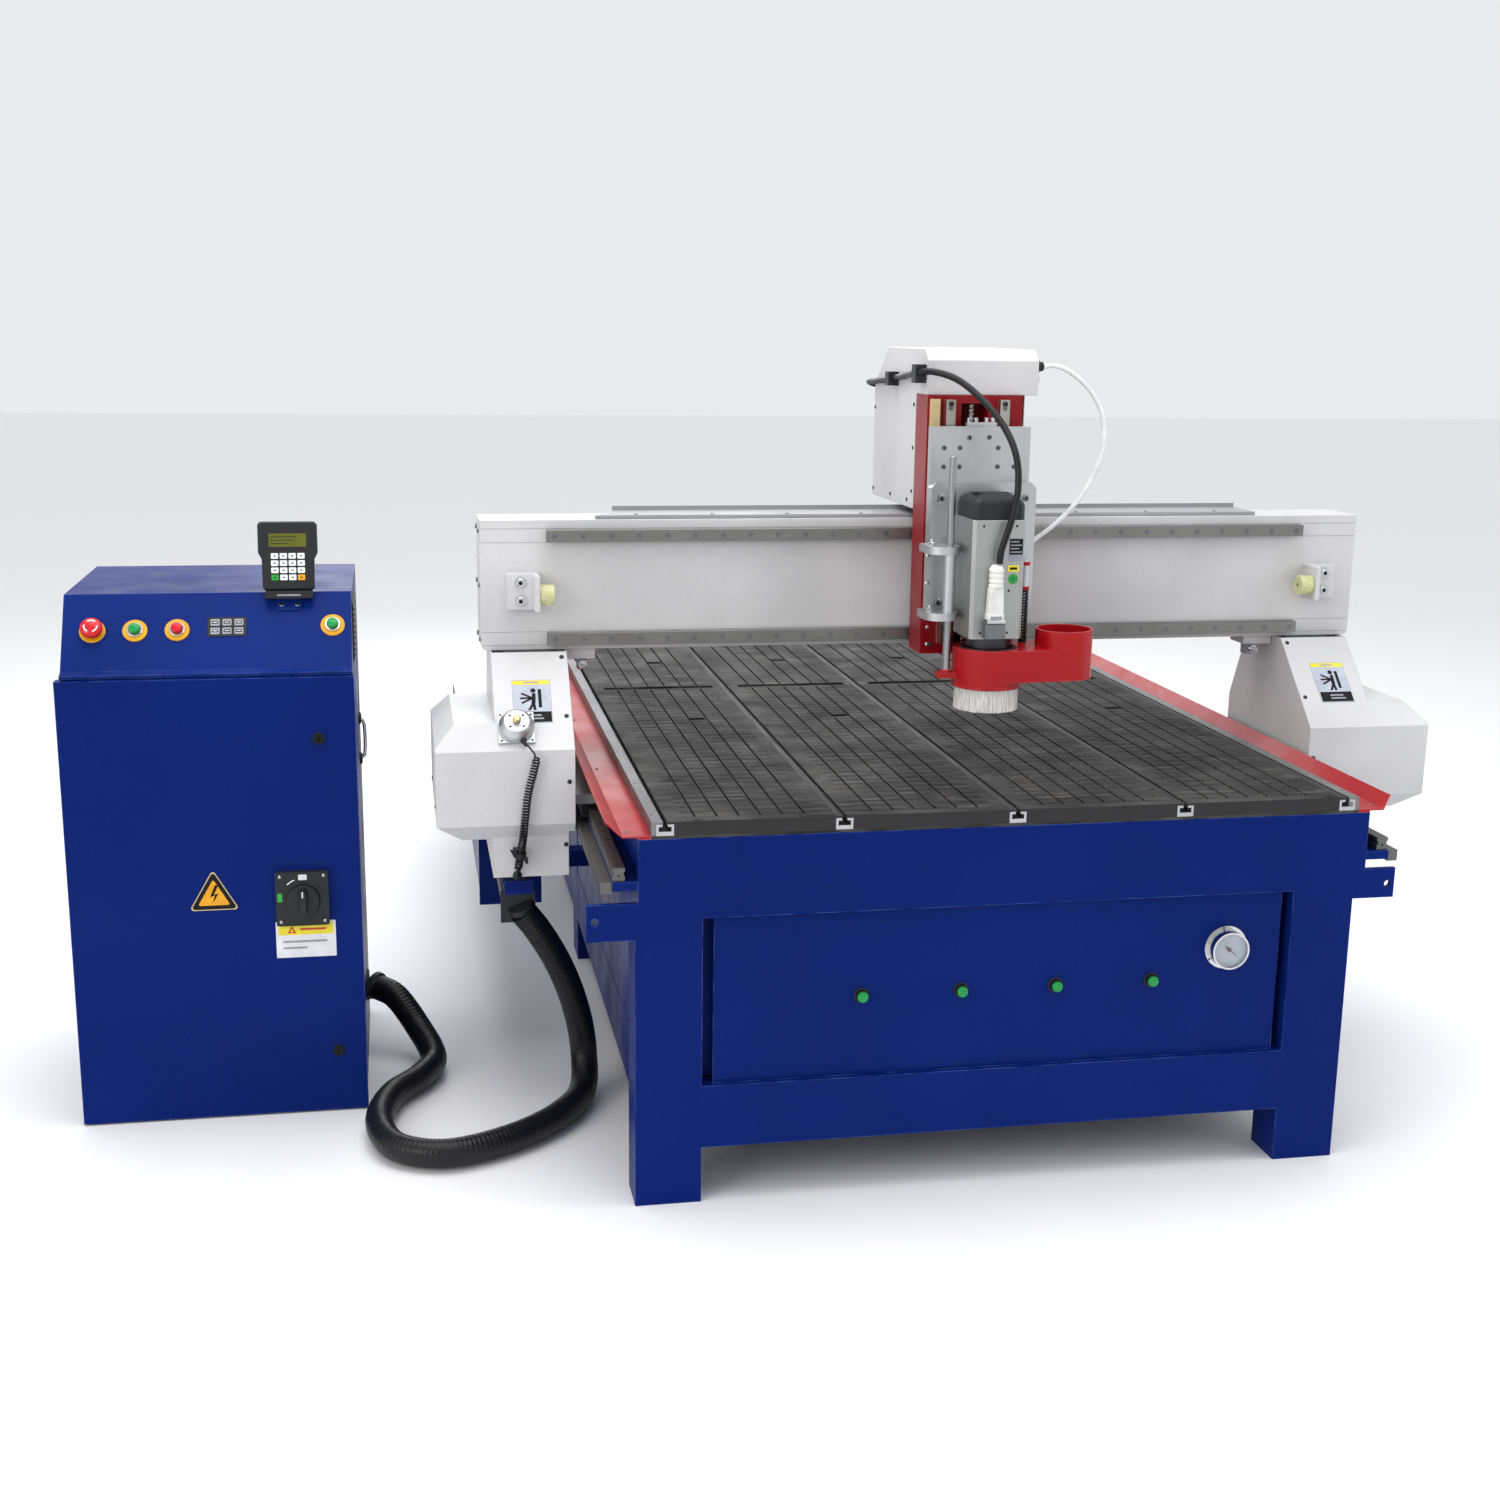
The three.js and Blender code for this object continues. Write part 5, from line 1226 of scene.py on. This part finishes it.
def make_lift_cylinder():
    """Small air cylinder beside the spindle, and the spring that holds the shoe down."""
    x, y = 128, 394
    piece = Piece("lift_cylinder", "aluminium")
    piece.turned([(9, 1150), (9, 1205), (7, 1208)], (x, y, 0), Z, 24)
    piece.box((x - 12, y + 4, 1160), (x + 12, 415, 1196))
    for z in (1146, 1198):
        piece.disc(10, z, z + 8, (x, y, 0), Z, 24, "red_paint")
    piece.place("z_slide", "aluminium", 0.5)
    piece = Piece("lift_cylinder_rod", "chrome")
    piece.turned([(3, 1034.5), (3, 1181), (2.4, 1182)], (x, y, 0), Z, 16)
    piece.turned([(9, 1034.8), (9, 1037.2), (6, 1038.6)], (x, y, 0), Z, 6, "dark_steel")
    piece.place("shoe", "chrome")
    wire, turns, radius = 2.3, 17, 7.6
    low, high = 1037.5, 1145
    path = []
    for i in range(turns * 14 + 1):
        a = 2 * pi * i / 14
        path.append(Vector((x + radius * cos(a), y + radius * sin(a),
                            low + (high - low) * i / (turns * 14))))
    piece = Piece("shoe_spring", "cord_black")
    piece.tube(path, wire, 8)
    spring = piece.place(None, "black_paint", angle=60)
    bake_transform(spring)


def make_brush():
    """Tufts of bristles in two rings, under a clamp band."""
    low, high = box_mm("brush_skirt")
    x, y, _ = middle_of("brush_skirt")
    piece = Piece("brush_bristles", "bristle")
    for radius, count in ((66, 150), (62, 140)):
        for k in range(count):
            a = 2 * pi * (k + 0.4 * random.random()) / count
            lean = 0.9 * (random.random() - 0.3)
            wide = 2 * pi * radius / count * 0.56
            out = Vector((cos(a), sin(a), 0))
            across = Vector((-sin(a), cos(a), 0))
            foot = low.z + 1.8 * random.random()
            rings = []
            for z, r, w in ((high.z + 3, radius - 1, wide), ((high.z + foot) / 2, radius - 0.4, wide * 1.02),
                            (foot, radius + lean, wide * 0.86)):
                middle = Vector((x, y, z)) + out * r
                rings.append([middle - across * w - out, middle + across * w - out,
                              middle + across * w + out, middle - across * w + out])
            piece.loft(rings)
    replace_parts(piece.place("shoe", "bristle"), "brush_skirt")
    piece = Piece("brush_band", "red_paint")
    piece.hoop([(68, 952.8), (72.4, 952.8), (73.3, 953.6), (73.3, 958), (68, 958)], (x, y, 0))
    piece.hoop([(52.5, 1034.9), (61, 1034.9), (60.4, 1036.2), (53, 1036.2)], (x, y, 0), "black_plastic")
    piece.place("shoe", "red_paint")
    piece = Piece("lift_rod", "rod_steel")
    piece.turned([(6.8, 982), (8, 983), (8, 1426.4), (7, 1427.4)], ROD_AXIS, Z, 28)
    piece.turned([(11, 982.2), (11, 986), (8, 988)], ROD_AXIS, Z, 24, "red_paint")
    piece.place("shoe", "chrome")


# ------------------------------------------------------------------ cabinet
CONSOLE_LOW = Vector((0, 586, 976))
CONSOLE_UP = Vector((0, 107, 144)).normalized()
CONSOLE_OUT = X.cross(CONSOLE_UP)


def on_console(x, s, lift=0.0):
    return CONSOLE_LOW + X * x + CONSOLE_UP * s + CONSOLE_OUT * lift


def make_console():
    for node, body, material, shape in (("start_button", "start", "green_lens", "flush"),
                                        ("stop_button", "stop", "red_lens", "flush"),
                                        ("vacuum_button", "vacuum_switch", "green_lens", "flush"),
                                        ("estop_button", "estop", "red_lens", "mushroom")):
        x = middle_of(node)[0]
        s = 98 if node == "vacuum_button" else 92
        profile = [(11.4, 8), (11.4, 15), (10.6, 16.4), (8, 17), (0.4, 17.2)]
        if shape == "mushroom":
            profile = [(8.6, 22), (8.6, 11), (21, 12.6), (22.4, 14), (22.4, 18.5), (21, 21.8), (17, 24.6),
                       (10, 26.4), (0.4, 27)]
        piece = Piece(f"{node}_cap", "label_white")
        piece.turned(profile, on_console(x, s), CONSOLE_OUT, 40, material)
        if shape == "mushroom":
            for k in range(3):
                a = radians(90 + k * 120)
                outer = circle(14.5, 9, 0, 0, a - 0.75, a + 0.55)
                inner = circle(11.5, 9, 0, 0, a - 0.75, a + 0.55)
                arrow = outer + inner[::-1]
                piece.plate(arrow, on_console(x, s, 25.0), 1.0, up=CONSOLE_UP)
        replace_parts(piece.place(body, material, angle=50), node)
        piece = Piece(f"{node}_bezel", "black_plastic")
        base = 26 if shape == "mushroom" else 25
        piece.turned([(base, -0.5), (base, 2.2), (base - 1.5, 3.4), (16.5, 3.4)], on_console(x, s),
                     CONSOLE_OUT, 40, "yellow")
        if shape == "flush":
            piece.turned([(16.4, 2), (16.4, 7), (15.4, 8), (12.6, 8), (12.4, 3)], on_console(x, s),
                         CONSOLE_OUT, 36, "chrome")
        else:
            piece.turned([(12, 2), (12, 4.4), (9.4, 4.4)], on_console(x, s), CONSOLE_OUT, 36)
            piece.disc(8, 3, 12, on_console(x, s), CONSOLE_OUT, 24)
        piece.place("machine", "black_plastic", 0.2)


def make_socket_plate():
    """A black plate with two rows of three small sockets."""
    piece = Piece("socket_plate", "black_plastic")
    piece.plate(rounded(-39, 39, -22, 22, 3), on_console(-1520, 98), 1.6, up=CONSOLE_UP)
    for row in range(2):
        for column in range(3):
            u, v = (column - 1) * 24, (row - 0.5) * 20
            top = on_console(-1520, 98, 1.6)
            piece.plate(rounded(u - 9, u + 9, v - 7.5, v + 7.5, 1.5), top, 0.8, "label_grey", up=CONSOLE_UP)
            # Black openings: painted shade inside the sockets.
            piece.plate(rounded(u - 6.4, u + 6.4, v - 3.4, v + 3.4, 0.8), top, 1.0, "black_hole",
                        up=CONSOLE_UP)
            piece.plate(rounded(u - 4.6, u + 4.6, v - 0.9, v + 0.9, 0.4), top, 1.3, "label_white",
                        up=CONSOLE_UP)
    piece.place("machine", "black_plastic")


HAND_TILT = radians(12)
HAND_UP = Vector((0, sin(HAND_TILT), cos(HAND_TILT)))
HAND_OUT = Vector((0, -cos(HAND_TILT), sin(HAND_TILT)))
HAND_BASE = Vector((-1393, 688, 1122))


def make_handheld():
    """Pendant with a display and sixteen keys, in a cradle on the console's top edge."""
    piece = Piece("pendant", "black_plastic")
    half = [(47, 0), (53, 6), (54, 66), (61, 80), (61, 139), (55, 145)]
    outline = half + [(-u, v) for u, v in reversed(half)]
    rings = []
    for inset, lift in ((3.5, 0.0), (0.5, 3.5), (0.0, 8), (0.0, 19), (1.2, 23), (4.5, 25.4)):
        ring = []
        for u, v in outline:
            shrink = 1 - inset / 61
            height = 72 + (v - 72) * (1 - inset / 81)
            ring.append(HAND_BASE + X * (u * shrink) + HAND_UP * height + HAND_OUT * lift)
        rings.append(ring)
    piece.loft(rings)

    def patch(u0, u1, v0, v1, lift, thick, material, radius=2.0):
        piece.plate(rounded(u0, u1, v0, v1, radius), HAND_BASE + HAND_OUT * lift, thick, material,
                    up=HAND_UP)

    patch(-46, 46, 87, 130, 25.2, 0.5, "cap_grey", 4)
    patch(-38, 38, 91, 119, 25.5, 0.5, "lcd", 1)
    for line in range(3):
        patch(-34, 20 - line * 9, 111 - line * 7, 113 - line * 7, 25.9, 0.12, "cap_grey", 0.4)
    for row in range(4):
        for column in range(4):
            u, v = (column - 1.5) * 18, 72 - row * 15
            material = "key_white"
            if row == 3 and column in (0, 3):
                material = "sight_green" if column == 0 else "yellow"
            patch(u - 7.4, u + 7.4, v - 5.8, v + 5.8, 25.2, 0.8, material, 1.5)
            patch(u - 2.2, u + 2.2, v - 1.4, v + 1.4, 25.9, 0.2, "cap_grey", 0.5)
    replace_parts(piece.place("handheld", "black_plastic", 0.5, 2, 28), "handheld_controller")
    piece = Piece("pendant_cradle", "black_plastic")
    cradle = rect(-49, 49, -17, -1.5)
    piece.plate(cradle, HAND_BASE + HAND_OUT * 2, 27, up=HAND_UP)
    piece.plate(rect(-24, 24, -12, -9), HAND_BASE + HAND_OUT * 29, 0.6, "label_grey", up=HAND_UP)
    # The cradle's plate in the lighter copy of the cabinet's blue: painted light.
    piece.plate(rect(-25, 25, 134, 178), on_console(-1393, 0), 4, "console_blue_painted_lighter", up=CONSOLE_UP)
    for u in (-16, 16):
        socket_screw(piece, on_console(-1393 + u, 146, 3.5), CONSOLE_OUT, 4.2, 3, "chrome")
    piece.place("machine", "black_plastic", 1.2)


DOOR_FACE = 553
DOOR_INNER = 556


def make_door_details():
    face = DOOR_FACE
    piece = Piece("isolator_base", "black_plastic")
    piece.plate(rounded(-1439.6, -1330.4, 430.4, 548.6, 8), (0, face - 10, 0), 4.8)
    piece.box((-1439.5, face - 10, 430.5), (-1330.5, face, 548.5))
    for x in (-1430, -1340):
        for z in (440, 539):
            pan_screw(piece, (x, face - 14.8, z), -Y, 3.4, "chrome")
    piece.plate(rounded(-1392, -1374, 531, 543, 2), (0, face - 14.8, 0), 0.6, "label_white")
    piece.plate(rounded(-1436, -1426, 484, 503, 1.5), (0, face - 14.8, 0), 0.8, "sight_green")
    arc = circle(47, 8, 0, 0, 1.95, 2.35) + circle(44.5, 8, 0, 0, 1.95, 2.35)[::-1]
    piece.plate([(-1383 + u, 489 + v) for u, v in arc], (0, face - 14.8, 0), 0.5, "label_white")
    piece.place("door", "black_plastic", 0.6)
    x, _, z = middle_of("isolator_knob")
    back = box_mm("isolator_knob")[1].y
    knob = Piece("isolator_handle", "black_plastic")
    knob.turned([(35, 0), (35, 6), (33.5, 9), (30, 10.5), (0.5, 10.8)], (x, back, z), -Y, 48)
    grip = rounded(-9, 9, -31, 31, 8.5, 7)
    origin = Vector((x, back - 9, z))
    knob.loft([[origin + X * u + Z * v for u, v in grip],
               [origin + X * u * 0.96 + Z * v * 0.97 - Y * 15 for u, v in grip],
               [origin + X * u * 0.8 + Z * v * 0.92 - Y * 20.5 for u, v in grip]])
    knob.plate(rounded(-1.5, 1.5, 14, 27, 1.2), origin - Y * 20.4, 0.4, "label_white")
    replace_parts(knob.place("isolator", "black_plastic", 0.4, 2, 40), "isolator_knob")
    make_door_labels(face)
    piece = Piece("lock_collars", "black_plastic")
    for node in ("door_lock_upper", "door_lock_lower"):
        x, _, z = middle_of(node)
        piece.turned([(12.8, 0), (12.8, 1.4), (12, 2.2), (11.2, 2.2)], (x, face, z), -Y)
    piece.place("door", "black_plastic")


def make_door_labels(face):
    """A plain yellow hazard triangle with a bolt, and a plain notice under the isolator."""
    piece = Piece("door_labels", "black_hole")
    centre = Vector((-1566, face, 498))

    def triangle(size, round_off):
        points = []
        for k in range(3):
            a = pi / 2 + k * 2 * pi / 3
            points += circle(round_off, 6, size * cos(a), size * sin(a), a - 1.05, a + 1.05)
        return points

    for size, round_off, thick, material in ((48, 5.5, 0.4, "cream_strip"), (45, 5.0, 0.6, "black_hole"),
                                             (32, 3.0, 0.8, "yellow")):
        piece.plate(triangle(size, round_off), centre, thick, material)
    bolt = [(3, 26), (-8, 0), (2, 4), (-3, -14), (10, 8), (0, 5), (10, 26)]
    piece.plate(bolt, centre - Z * 1, 1.0)
    for k, (low, high, thick, material) in enumerate((((0, 0), (124, 80), 0.4, "label_white"),
                                                      ((5, 50), (119, 75), 0.6, "label_yellow"))):
        piece.plate(rounded(low[0], high[0], low[1], high[1], 2), (-1443, face, 356), thick, material)
    mark = [(24, 54), (42, 54), (33, 70)]
    piece.plate(mark, (-1443, face, 356), 0.7, "label_red")
    piece.plate([(29, 56.5), (37, 56.5), (33, 64)], (-1443, face, 356), 0.8, "label_yellow")
    for u0, u1, v in ((50, 104, 60), (14, 106, 33), (14, 64, 19)):
        piece.plate(rect(u0, u1, v, v + 4.5), (-1443, face, 356), 0.7,
                    "label_red" if v == 60 else "label_grey")
    piece.place("door", "white_paint")


def make_door_inside():
    """Stiffeners, document pocket and switch body on the door's inner face, and the locks' cams."""
    face = DOOR_INNER
    piece = Piece("door_inner_parts", "blue_paint")
    for x in (-1806, -1604):
        hat = [(x, face), (x + 6, face + 11), (x + 26, face + 11), (x + 32, face)]
        piece.loft([[(u, y, z) for u, y in hat] for z in (40, 925)])
    piece.box((-1418, face, 448), (-1348, face + 52, 524), "black_plastic")
    for x in (-1404, -1383, -1362):
        for z in (453, 507):
            piece.box((x - 8, face + 51, z), (x + 8, face + 58, z + 12), "cap_grey")
            pan_screw(piece, (x, face + 58, z + 6), Y, 3.6, "chrome")
    pocket = [((-1762, face + 24, 236), (-1626, face + 27, 420)),
              ((-1762, face, 236), (-1759, face + 25, 440)),
              ((-1629, face, 236), (-1626, face + 25, 440)),
              ((-1760, face, 236), (-1628, face + 25, 239))]
    for low, high in pocket:
        piece.box(low, high, "drive_housing")
    piece.box((-1748, face + 8, 240), (-1642, face + 16, 446), "label_white")
    piece.place("door", "blue_paint", 0.6)
    for node, body in (("door_lock_upper", "lock_upper"), ("door_lock_lower", "lock_lower")):
        x, _, z = middle_of(node)
        piece = Piece(f"{body}_cam", "bolt")
        piece.disc(6.5, 0, 44, (x, face, z), Y, 20)
        piece.disc(10, 0, 7, (x, face, z), Y, 6)
        piece.plate(rounded(-9, 36, -9, 9, 3), (x, face + 42, z), 3)
        piece.place(body, "black_paint", 0.3)


def make_drive_details():
    """Wiring ducts, terminals, keypads, heat sinks and breakers on the plate inside the cabinet."""
    rear = box_mm("drive_rack")[1].y
    piece = Piece("wiring_ducts", "label_grey")
    for x0, x1, z in ((-1824, -1482, 738), (-1824, -1482, 492), (-1824, -1290, 400), (-1824, -1290, 806)):
        piece.box((x0, rear - 52, z), (x1, rear - 4, z + 38))
        piece.box((x0, rear - 54, z - 1), (x1, rear - 50, z + 39), "cap_grey")
        # Black strips along the ducts: painted shade in their slots.
        for k in range(int((x1 - x0) / 12)):
            u = x0 + 6 + k * 12
            for w in (z + 38, z):
                outline = rect(u, u + 5, -46, -10)
                piece.plate(outline, (0, rear, w), 0.4 if w > z else -0.4, "black_hole", up=Y)
    piece.place("machine", "black_plastic")
    piece = Piece("drive_fronts", "cap_grey")
    front = Vector((0, rear - 120, 0))
    for i in range(4):
        x = -1800 + i * 78
        piece.plate(rounded(x + 4, x + 46, 632, 704, 2), front, 1.0)
        piece.plate(circle(2.4, 12, x + 12, 696), front, 1.6, "green_lens")
        piece.plate(rounded(x + 10, x + 40, 672, 684, 1), front, 1.8, "label_red")
        for k in range(4):
            piece.plate(rect(x + 10, x + 38, 640 + k * 7, 643 + k * 7), front, 1.3, "label_grey")
        piece.box((x + 8, rear - 132, 566), (x + 42, rear - 119, 626), "sight_green")
        for k in range(6):
            pan_screw(piece, (x + 25, rear - 132, 571 + k * 10), -Y, 3, "chrome")
        for k in range(7):
            piece.box((x + 49, rear - 108 + k * 14, 564), (x + 57, rear - 104 + k * 14, 706), "aluminium")
    piece.place("machine", "aluminium")
    make_power_details(rear)


def make_power_details(rear):
    piece = Piece("inverter_front", "black_plastic")
    front = Vector((0, rear - 170, 0))
    piece.plate(rounded(-1464, -1316, 486, 754, 6), front, 2, "cap_grey")
    piece.plate(rounded(-1432, -1348, 632, 738, 4), front, 5)
    piece.plate(rounded(-1422, -1358, 706, 730, 1), front, 5.5, "lcd")
    for row in range(3):
        for column in range(3):
            u, v = -1412 + column * 22, 644 + row * 19
            piece.plate(rounded(u - 7, u + 7, v - 5, v + 5, 2), front, 6, "label_grey")
    piece.plate(rounded(-1456, -1324, 494, 604, 3), front, 4)
    for u in (-1446, -1334):
        pan_screw(piece, (u, rear - 174, 502), -Y, 4, "chrome")
    # Black slits on top: painted shade in the vents.
    for k in range(9):
        piece.box((-1462 + k * 17, rear - 150, 759), (-1454 + k * 17, rear - 40, 760.6), "black_hole")
    piece.place("machine", "black_plastic", 0.6)
    piece = Piece("supply_front", "black_plastic")
    front = Vector((0, rear - 90, 0))
    # Black dots: painted shade in the supply's vent holes.
    for row in range(6):
        for column in range(15):
            piece.plate(circle(3.2, 8, -1788 + column * 12.6, 240 + row * 13), front, 0.4, "black_hole")
    piece.box((-1794, rear - 98, 204), (-1606, rear - 89, 226))
    for k in range(9):
        pan_screw(piece, (-1784 + k * 21, rear - 98, 215), -Y, 5, "chrome")
    front = Vector((0, rear - 100, 0))
    for k in range(3):
        x = -1550 + k * 72
        piece.box((x, rear - 114, 288), (x + 64, rear - 99, 372))
        piece.plate(rounded(x + 14, x + 50, 318, 342, 2), front - Y * 14, 2, "label_grey")
        for u in (12, 32, 52):
            for z in (298, 362):
                pan_screw(piece, (x + u, rear - 114, z), -Y, 4, "chrome")
    for k in range(6):
        x = -1552 + k * 36
        piece.box((x, rear - 110, 192), (x + 34, rear - 99, 268), "white_plastic")
        piece.box((x + 9, rear - 116, 214), (x + 25, rear - 109, 246), "white_plastic")
        piece.box((x + 13, rear - 123, 228), (x + 21, rear - 115, 244))
    piece.place("machine", "black_plastic", 0.5)


def make_cabinet_side():
    """Louvred vent, lift handle and hinge on the cabinet's right side, and the conduit's gland."""
    low, high = box_mm("cabinet_shell")
    x = high.x
    piece = Piece("cabinet_vent", "black_plastic")
    piece.box((x, 705, 968), (x + 2.5, 905, 1092))
    for k in range(9):
        z = 976 + k * 12.5
        piece.loft([[(x + 2, 715, z), (x + 2, 895, z), (x + 2, 895, z + 8), (x + 2, 715, z + 8)],
                    [(x + 6, 717, z - 1), (x + 6, 893, z - 1), (x + 3, 893, z + 6), (x + 3, 717, z + 6)]])
    piece.place("machine", "black_plastic", 0.4)
    piece = Piece("cabinet_handle", "chrome")
    path = smooth_path([(x, 1010, 682), (x + 9, 1010, 688), (x + 12, 1010, 704), (x + 12, 1010, 756),
                        (x + 9, 1010, 772), (x, 1010, 778)], 4)
    piece.tube(path, 4, 12)
    for z in (682, 778):
        piece.turned([(14, 0), (14, 4), (9, 6)], (x, 1010, z), X, 24, "black_plastic")
    piece.place("machine", "black_plastic")
    piece = Piece("conduit_gland", "black_plastic")
    ahead = (Vector(CONDUIT_PATH[1]) - Vector(CONDUIT_PATH[0])).normalized()
    start = Vector(CONDUIT_PATH[0])
    piece.turned([(33, -17), (33, -6), (30, -3), (28, 6), (27, 22), (24, 26)], start, ahead, 30)
    piece.turned([(38, 0), (38, 4), (34, 6)], (x, 931, 151), X, 30)
    piece.place("machine", "black_plastic")
    piece = Piece("door_hinges", "dark_steel")
    for z in (120, 480, 850):
        piece.disc(6, -32, 32, (-1857 + 3, 588, z), Z, 20)
    piece.place("machine", "black_paint", 0.5)


def make_cabinet_back():
    """Screwed service panel with louvres on the cabinet's back, and a fan guard on its left side."""
    low, high = box_mm("cabinet_shell")
    mid, y = (low.x + high.x) / 2, high.y
    # The back panel in the lighter copy of the cabinet's blue: painted light.
    piece = Piece("cabinet_back_panel", "console_blue_painted_lighter")
    piece.plate(rounded(-235, 235, 120, 980, 12), (mid, y, 0), 2.5, across=-X)
    for k in range(10):
        z = 190 + k * 22
        piece.loft([[(mid - 120, y + 2, z), (mid + 120, y + 2, z), (mid + 120, y + 2, z + 14),
                     (mid - 120, y + 2, z + 14)], [(mid - 116, y + 7, z), (mid + 116, y + 7, z),
                                                   (mid + 118, y + 3, z + 12), (mid - 118, y + 3, z + 12)]])
    for u in (-222, 222):
        for z in (135, 345, 550, 755, 965):
            pan_screw(piece, (mid + u, y + 2.5, z), Y, 4.5, "bolt")
    piece.place("machine", "blue_paint", 0.5)
    piece = Piece("cabinet_fan_guard", "chrome")
    x, y, z = low.x, 830, 800
    piece.plate(rounded(-62, 62, -62, 62, 8), (x, y, z), 2, "black_plastic", across=-Y)
    for radius in (16, 28, 40, 52):
        ring = [Vector((x - 5, y + radius * cos(a), z + radius * sin(a)))
                for a in (2 * pi * i / 36 for i in range(37))]
        piece.tube(ring, 1.6, 8)
    for a in (0.785, 2.356, 3.927, 5.498):
        out = Vector((0, cos(a), sin(a)))
        centre = Vector((x - 4, y, z))
        piece.tube([centre + out * 14, centre + out * 60], 1.6, 8)
        pan_screw(piece, (x - 2, y + 74 * out.y, z + 74 * out.z), -X, 3.2, "bolt")
    piece.place("machine", "black_plastic", 0.3)


def make_drag_chain():
    """The first links of the cable chain, under the tongue that the conduit comes up to."""
    piece = Piece("drag_chain_links", "black_plastic")
    low_x, high_x = -968, -902
    for k in range(9):
        y = 506 + k * 44
        for x in (low_x, high_x - 6):
            piece.box((x, y, 456), (x + 6, y + 34, 498))
            piece.box((x + 1.5, y + 30, 462), (x + 4.5, y + 48, 492))
        piece.box((low_x, y + 6, 456), (high_x, y + 22, 460))
        piece.box((low_x, y + 6, 494), (high_x, y + 22, 498))
    piece.place("machine", "black_plastic", 1.2)
    piece = Piece("conduit_clamp", "black_plastic")
    piece.box((-972, 497, 430), (-898, 503, 500))
    piece.turned([(27, -6), (29, 0), (29, 6), (26, 10)], (-930, 494, 465), (0.35, 0.3, -0.85), 30)
    piece.place("machine", "black_plastic", 0.8)


# ------------------------------------------------------------------ materials on the CAD nodes
def finish_cad(node, material, bevel=0.8, segments=2):
    """Gives a CAD node its material, welds its split corners and rounds its sharp edges."""
    piece = frame["nodes"][node]
    for slot in piece.material_slots:
        slot.material = MATERIALS[material]
    mesh = piece.data
    bpy.context.view_layer.objects.active = piece
    piece.select_set(True)
    bpy.ops.mesh.customdata_custom_splitnormals_clear()
    piece.select_set(False)
    for face in mesh.polygons:
        face.use_smooth = True
    for name in ("sharp_edge", "sharp_face"):
        attribute = mesh.attributes.get(name)
        if attribute:
            mesh.attributes.remove(attribute)
    weld = piece.modifiers.new("weld", "WELD")
    weld.merge_threshold = 0.02 * MM
    flat = piece.modifiers.new("flat", "DECIMATE")
    flat.decimate_type = "DISSOLVE"
    flat.angle_limit = radians(0.6)
    add_bevel(piece, bevel, segments)
    split = piece.modifiers.new("corners", "EDGE_SPLIT")
    split.split_angle = radians(35)
    split.use_edge_sharp = False
    even_normals(piece, False)


CAD_LOOKS = {
    "blue_paint": (["front_frame", "rear_frame", "bed_deck", "side_frame_left", "side_frame_right",
                    "chain_trough"], 1.6),
    # The cabinet shell in the lighter copy of the blue: painted light.
    "console_blue_painted_lighter": (["cabinet_shell"], 1.6),
    "white_paint": (["leg_cover_left", "leg_cover_right", "carriage_cover"], 1.4),
    "column_red": (["z_column"], 1.2),
    "guard_red": (["guard_left", "guard_right"], 0.5),
    "grey_steel": (["gantry_leg_left", "gantry_leg_right", "beam_shelf"], 1.0),
    "black_paint": (["z_motor", "x_motor"], 2.0),
    "rail_x": (["x_rail_lower", "x_rail_upper"], 0.6),
    "rail_y": (["y_rail_left", "y_rail_right"], 0.6),
    "dark_steel": (["y_pinion_left", "y_pinion_right", "x_pinion", "spindle_rotor"], 0.3),
    "aluminium": (["z_plate", "tool_setter"], 0.9),
    "chrome": (["vacuum_gauge"], 0.9),
    "black_hole": (["door_lock_upper", "door_lock_lower", "gauge_needle"], 0.4),
    "drive_housing": (["drive_rack"], 2.0),
    "polyurethane": (["buffer_left", "buffer_right"], 2.0),
}


def finish_cad_nodes():
    for material, (nodes, bevel) in CAD_LOOKS.items():
        for node in nodes:
            finish_cad(node, material, bevel)
    finish_cad("gantry_beam", "white_paint", 4, 3)
    finish_cad("dust_shoe", "red_paint", 1.5, 3)
    finish_cad("cabinet_door", "blue_paint", 0.7)


# ------------------------------------------------------------------ the whole
make_camera()
MATERIALS = make_materials()
make_conduit()
make_setter_cord()
make_head_cords()
make_studio()
finish_cad_nodes()
make_boards()
make_tracks()
make_bed_fasteners()
make_panel_returns()
make_rail_bolts()
make_racks()
make_gauge_face()
make_zone_lamps()
make_beam_details()
make_leg_details()
make_setter_details()
make_screw_thread()
make_column_details()
make_hood_details()
make_plate_details()
make_spindle()
make_lift_cylinder()
make_brush()
make_console()
make_socket_plate()
make_handheld()
make_door_details()
make_door_inside()
make_drive_details()
make_cabinet_side()
make_cabinet_back()
make_drag_chain()

bpy.context.view_layer.update()
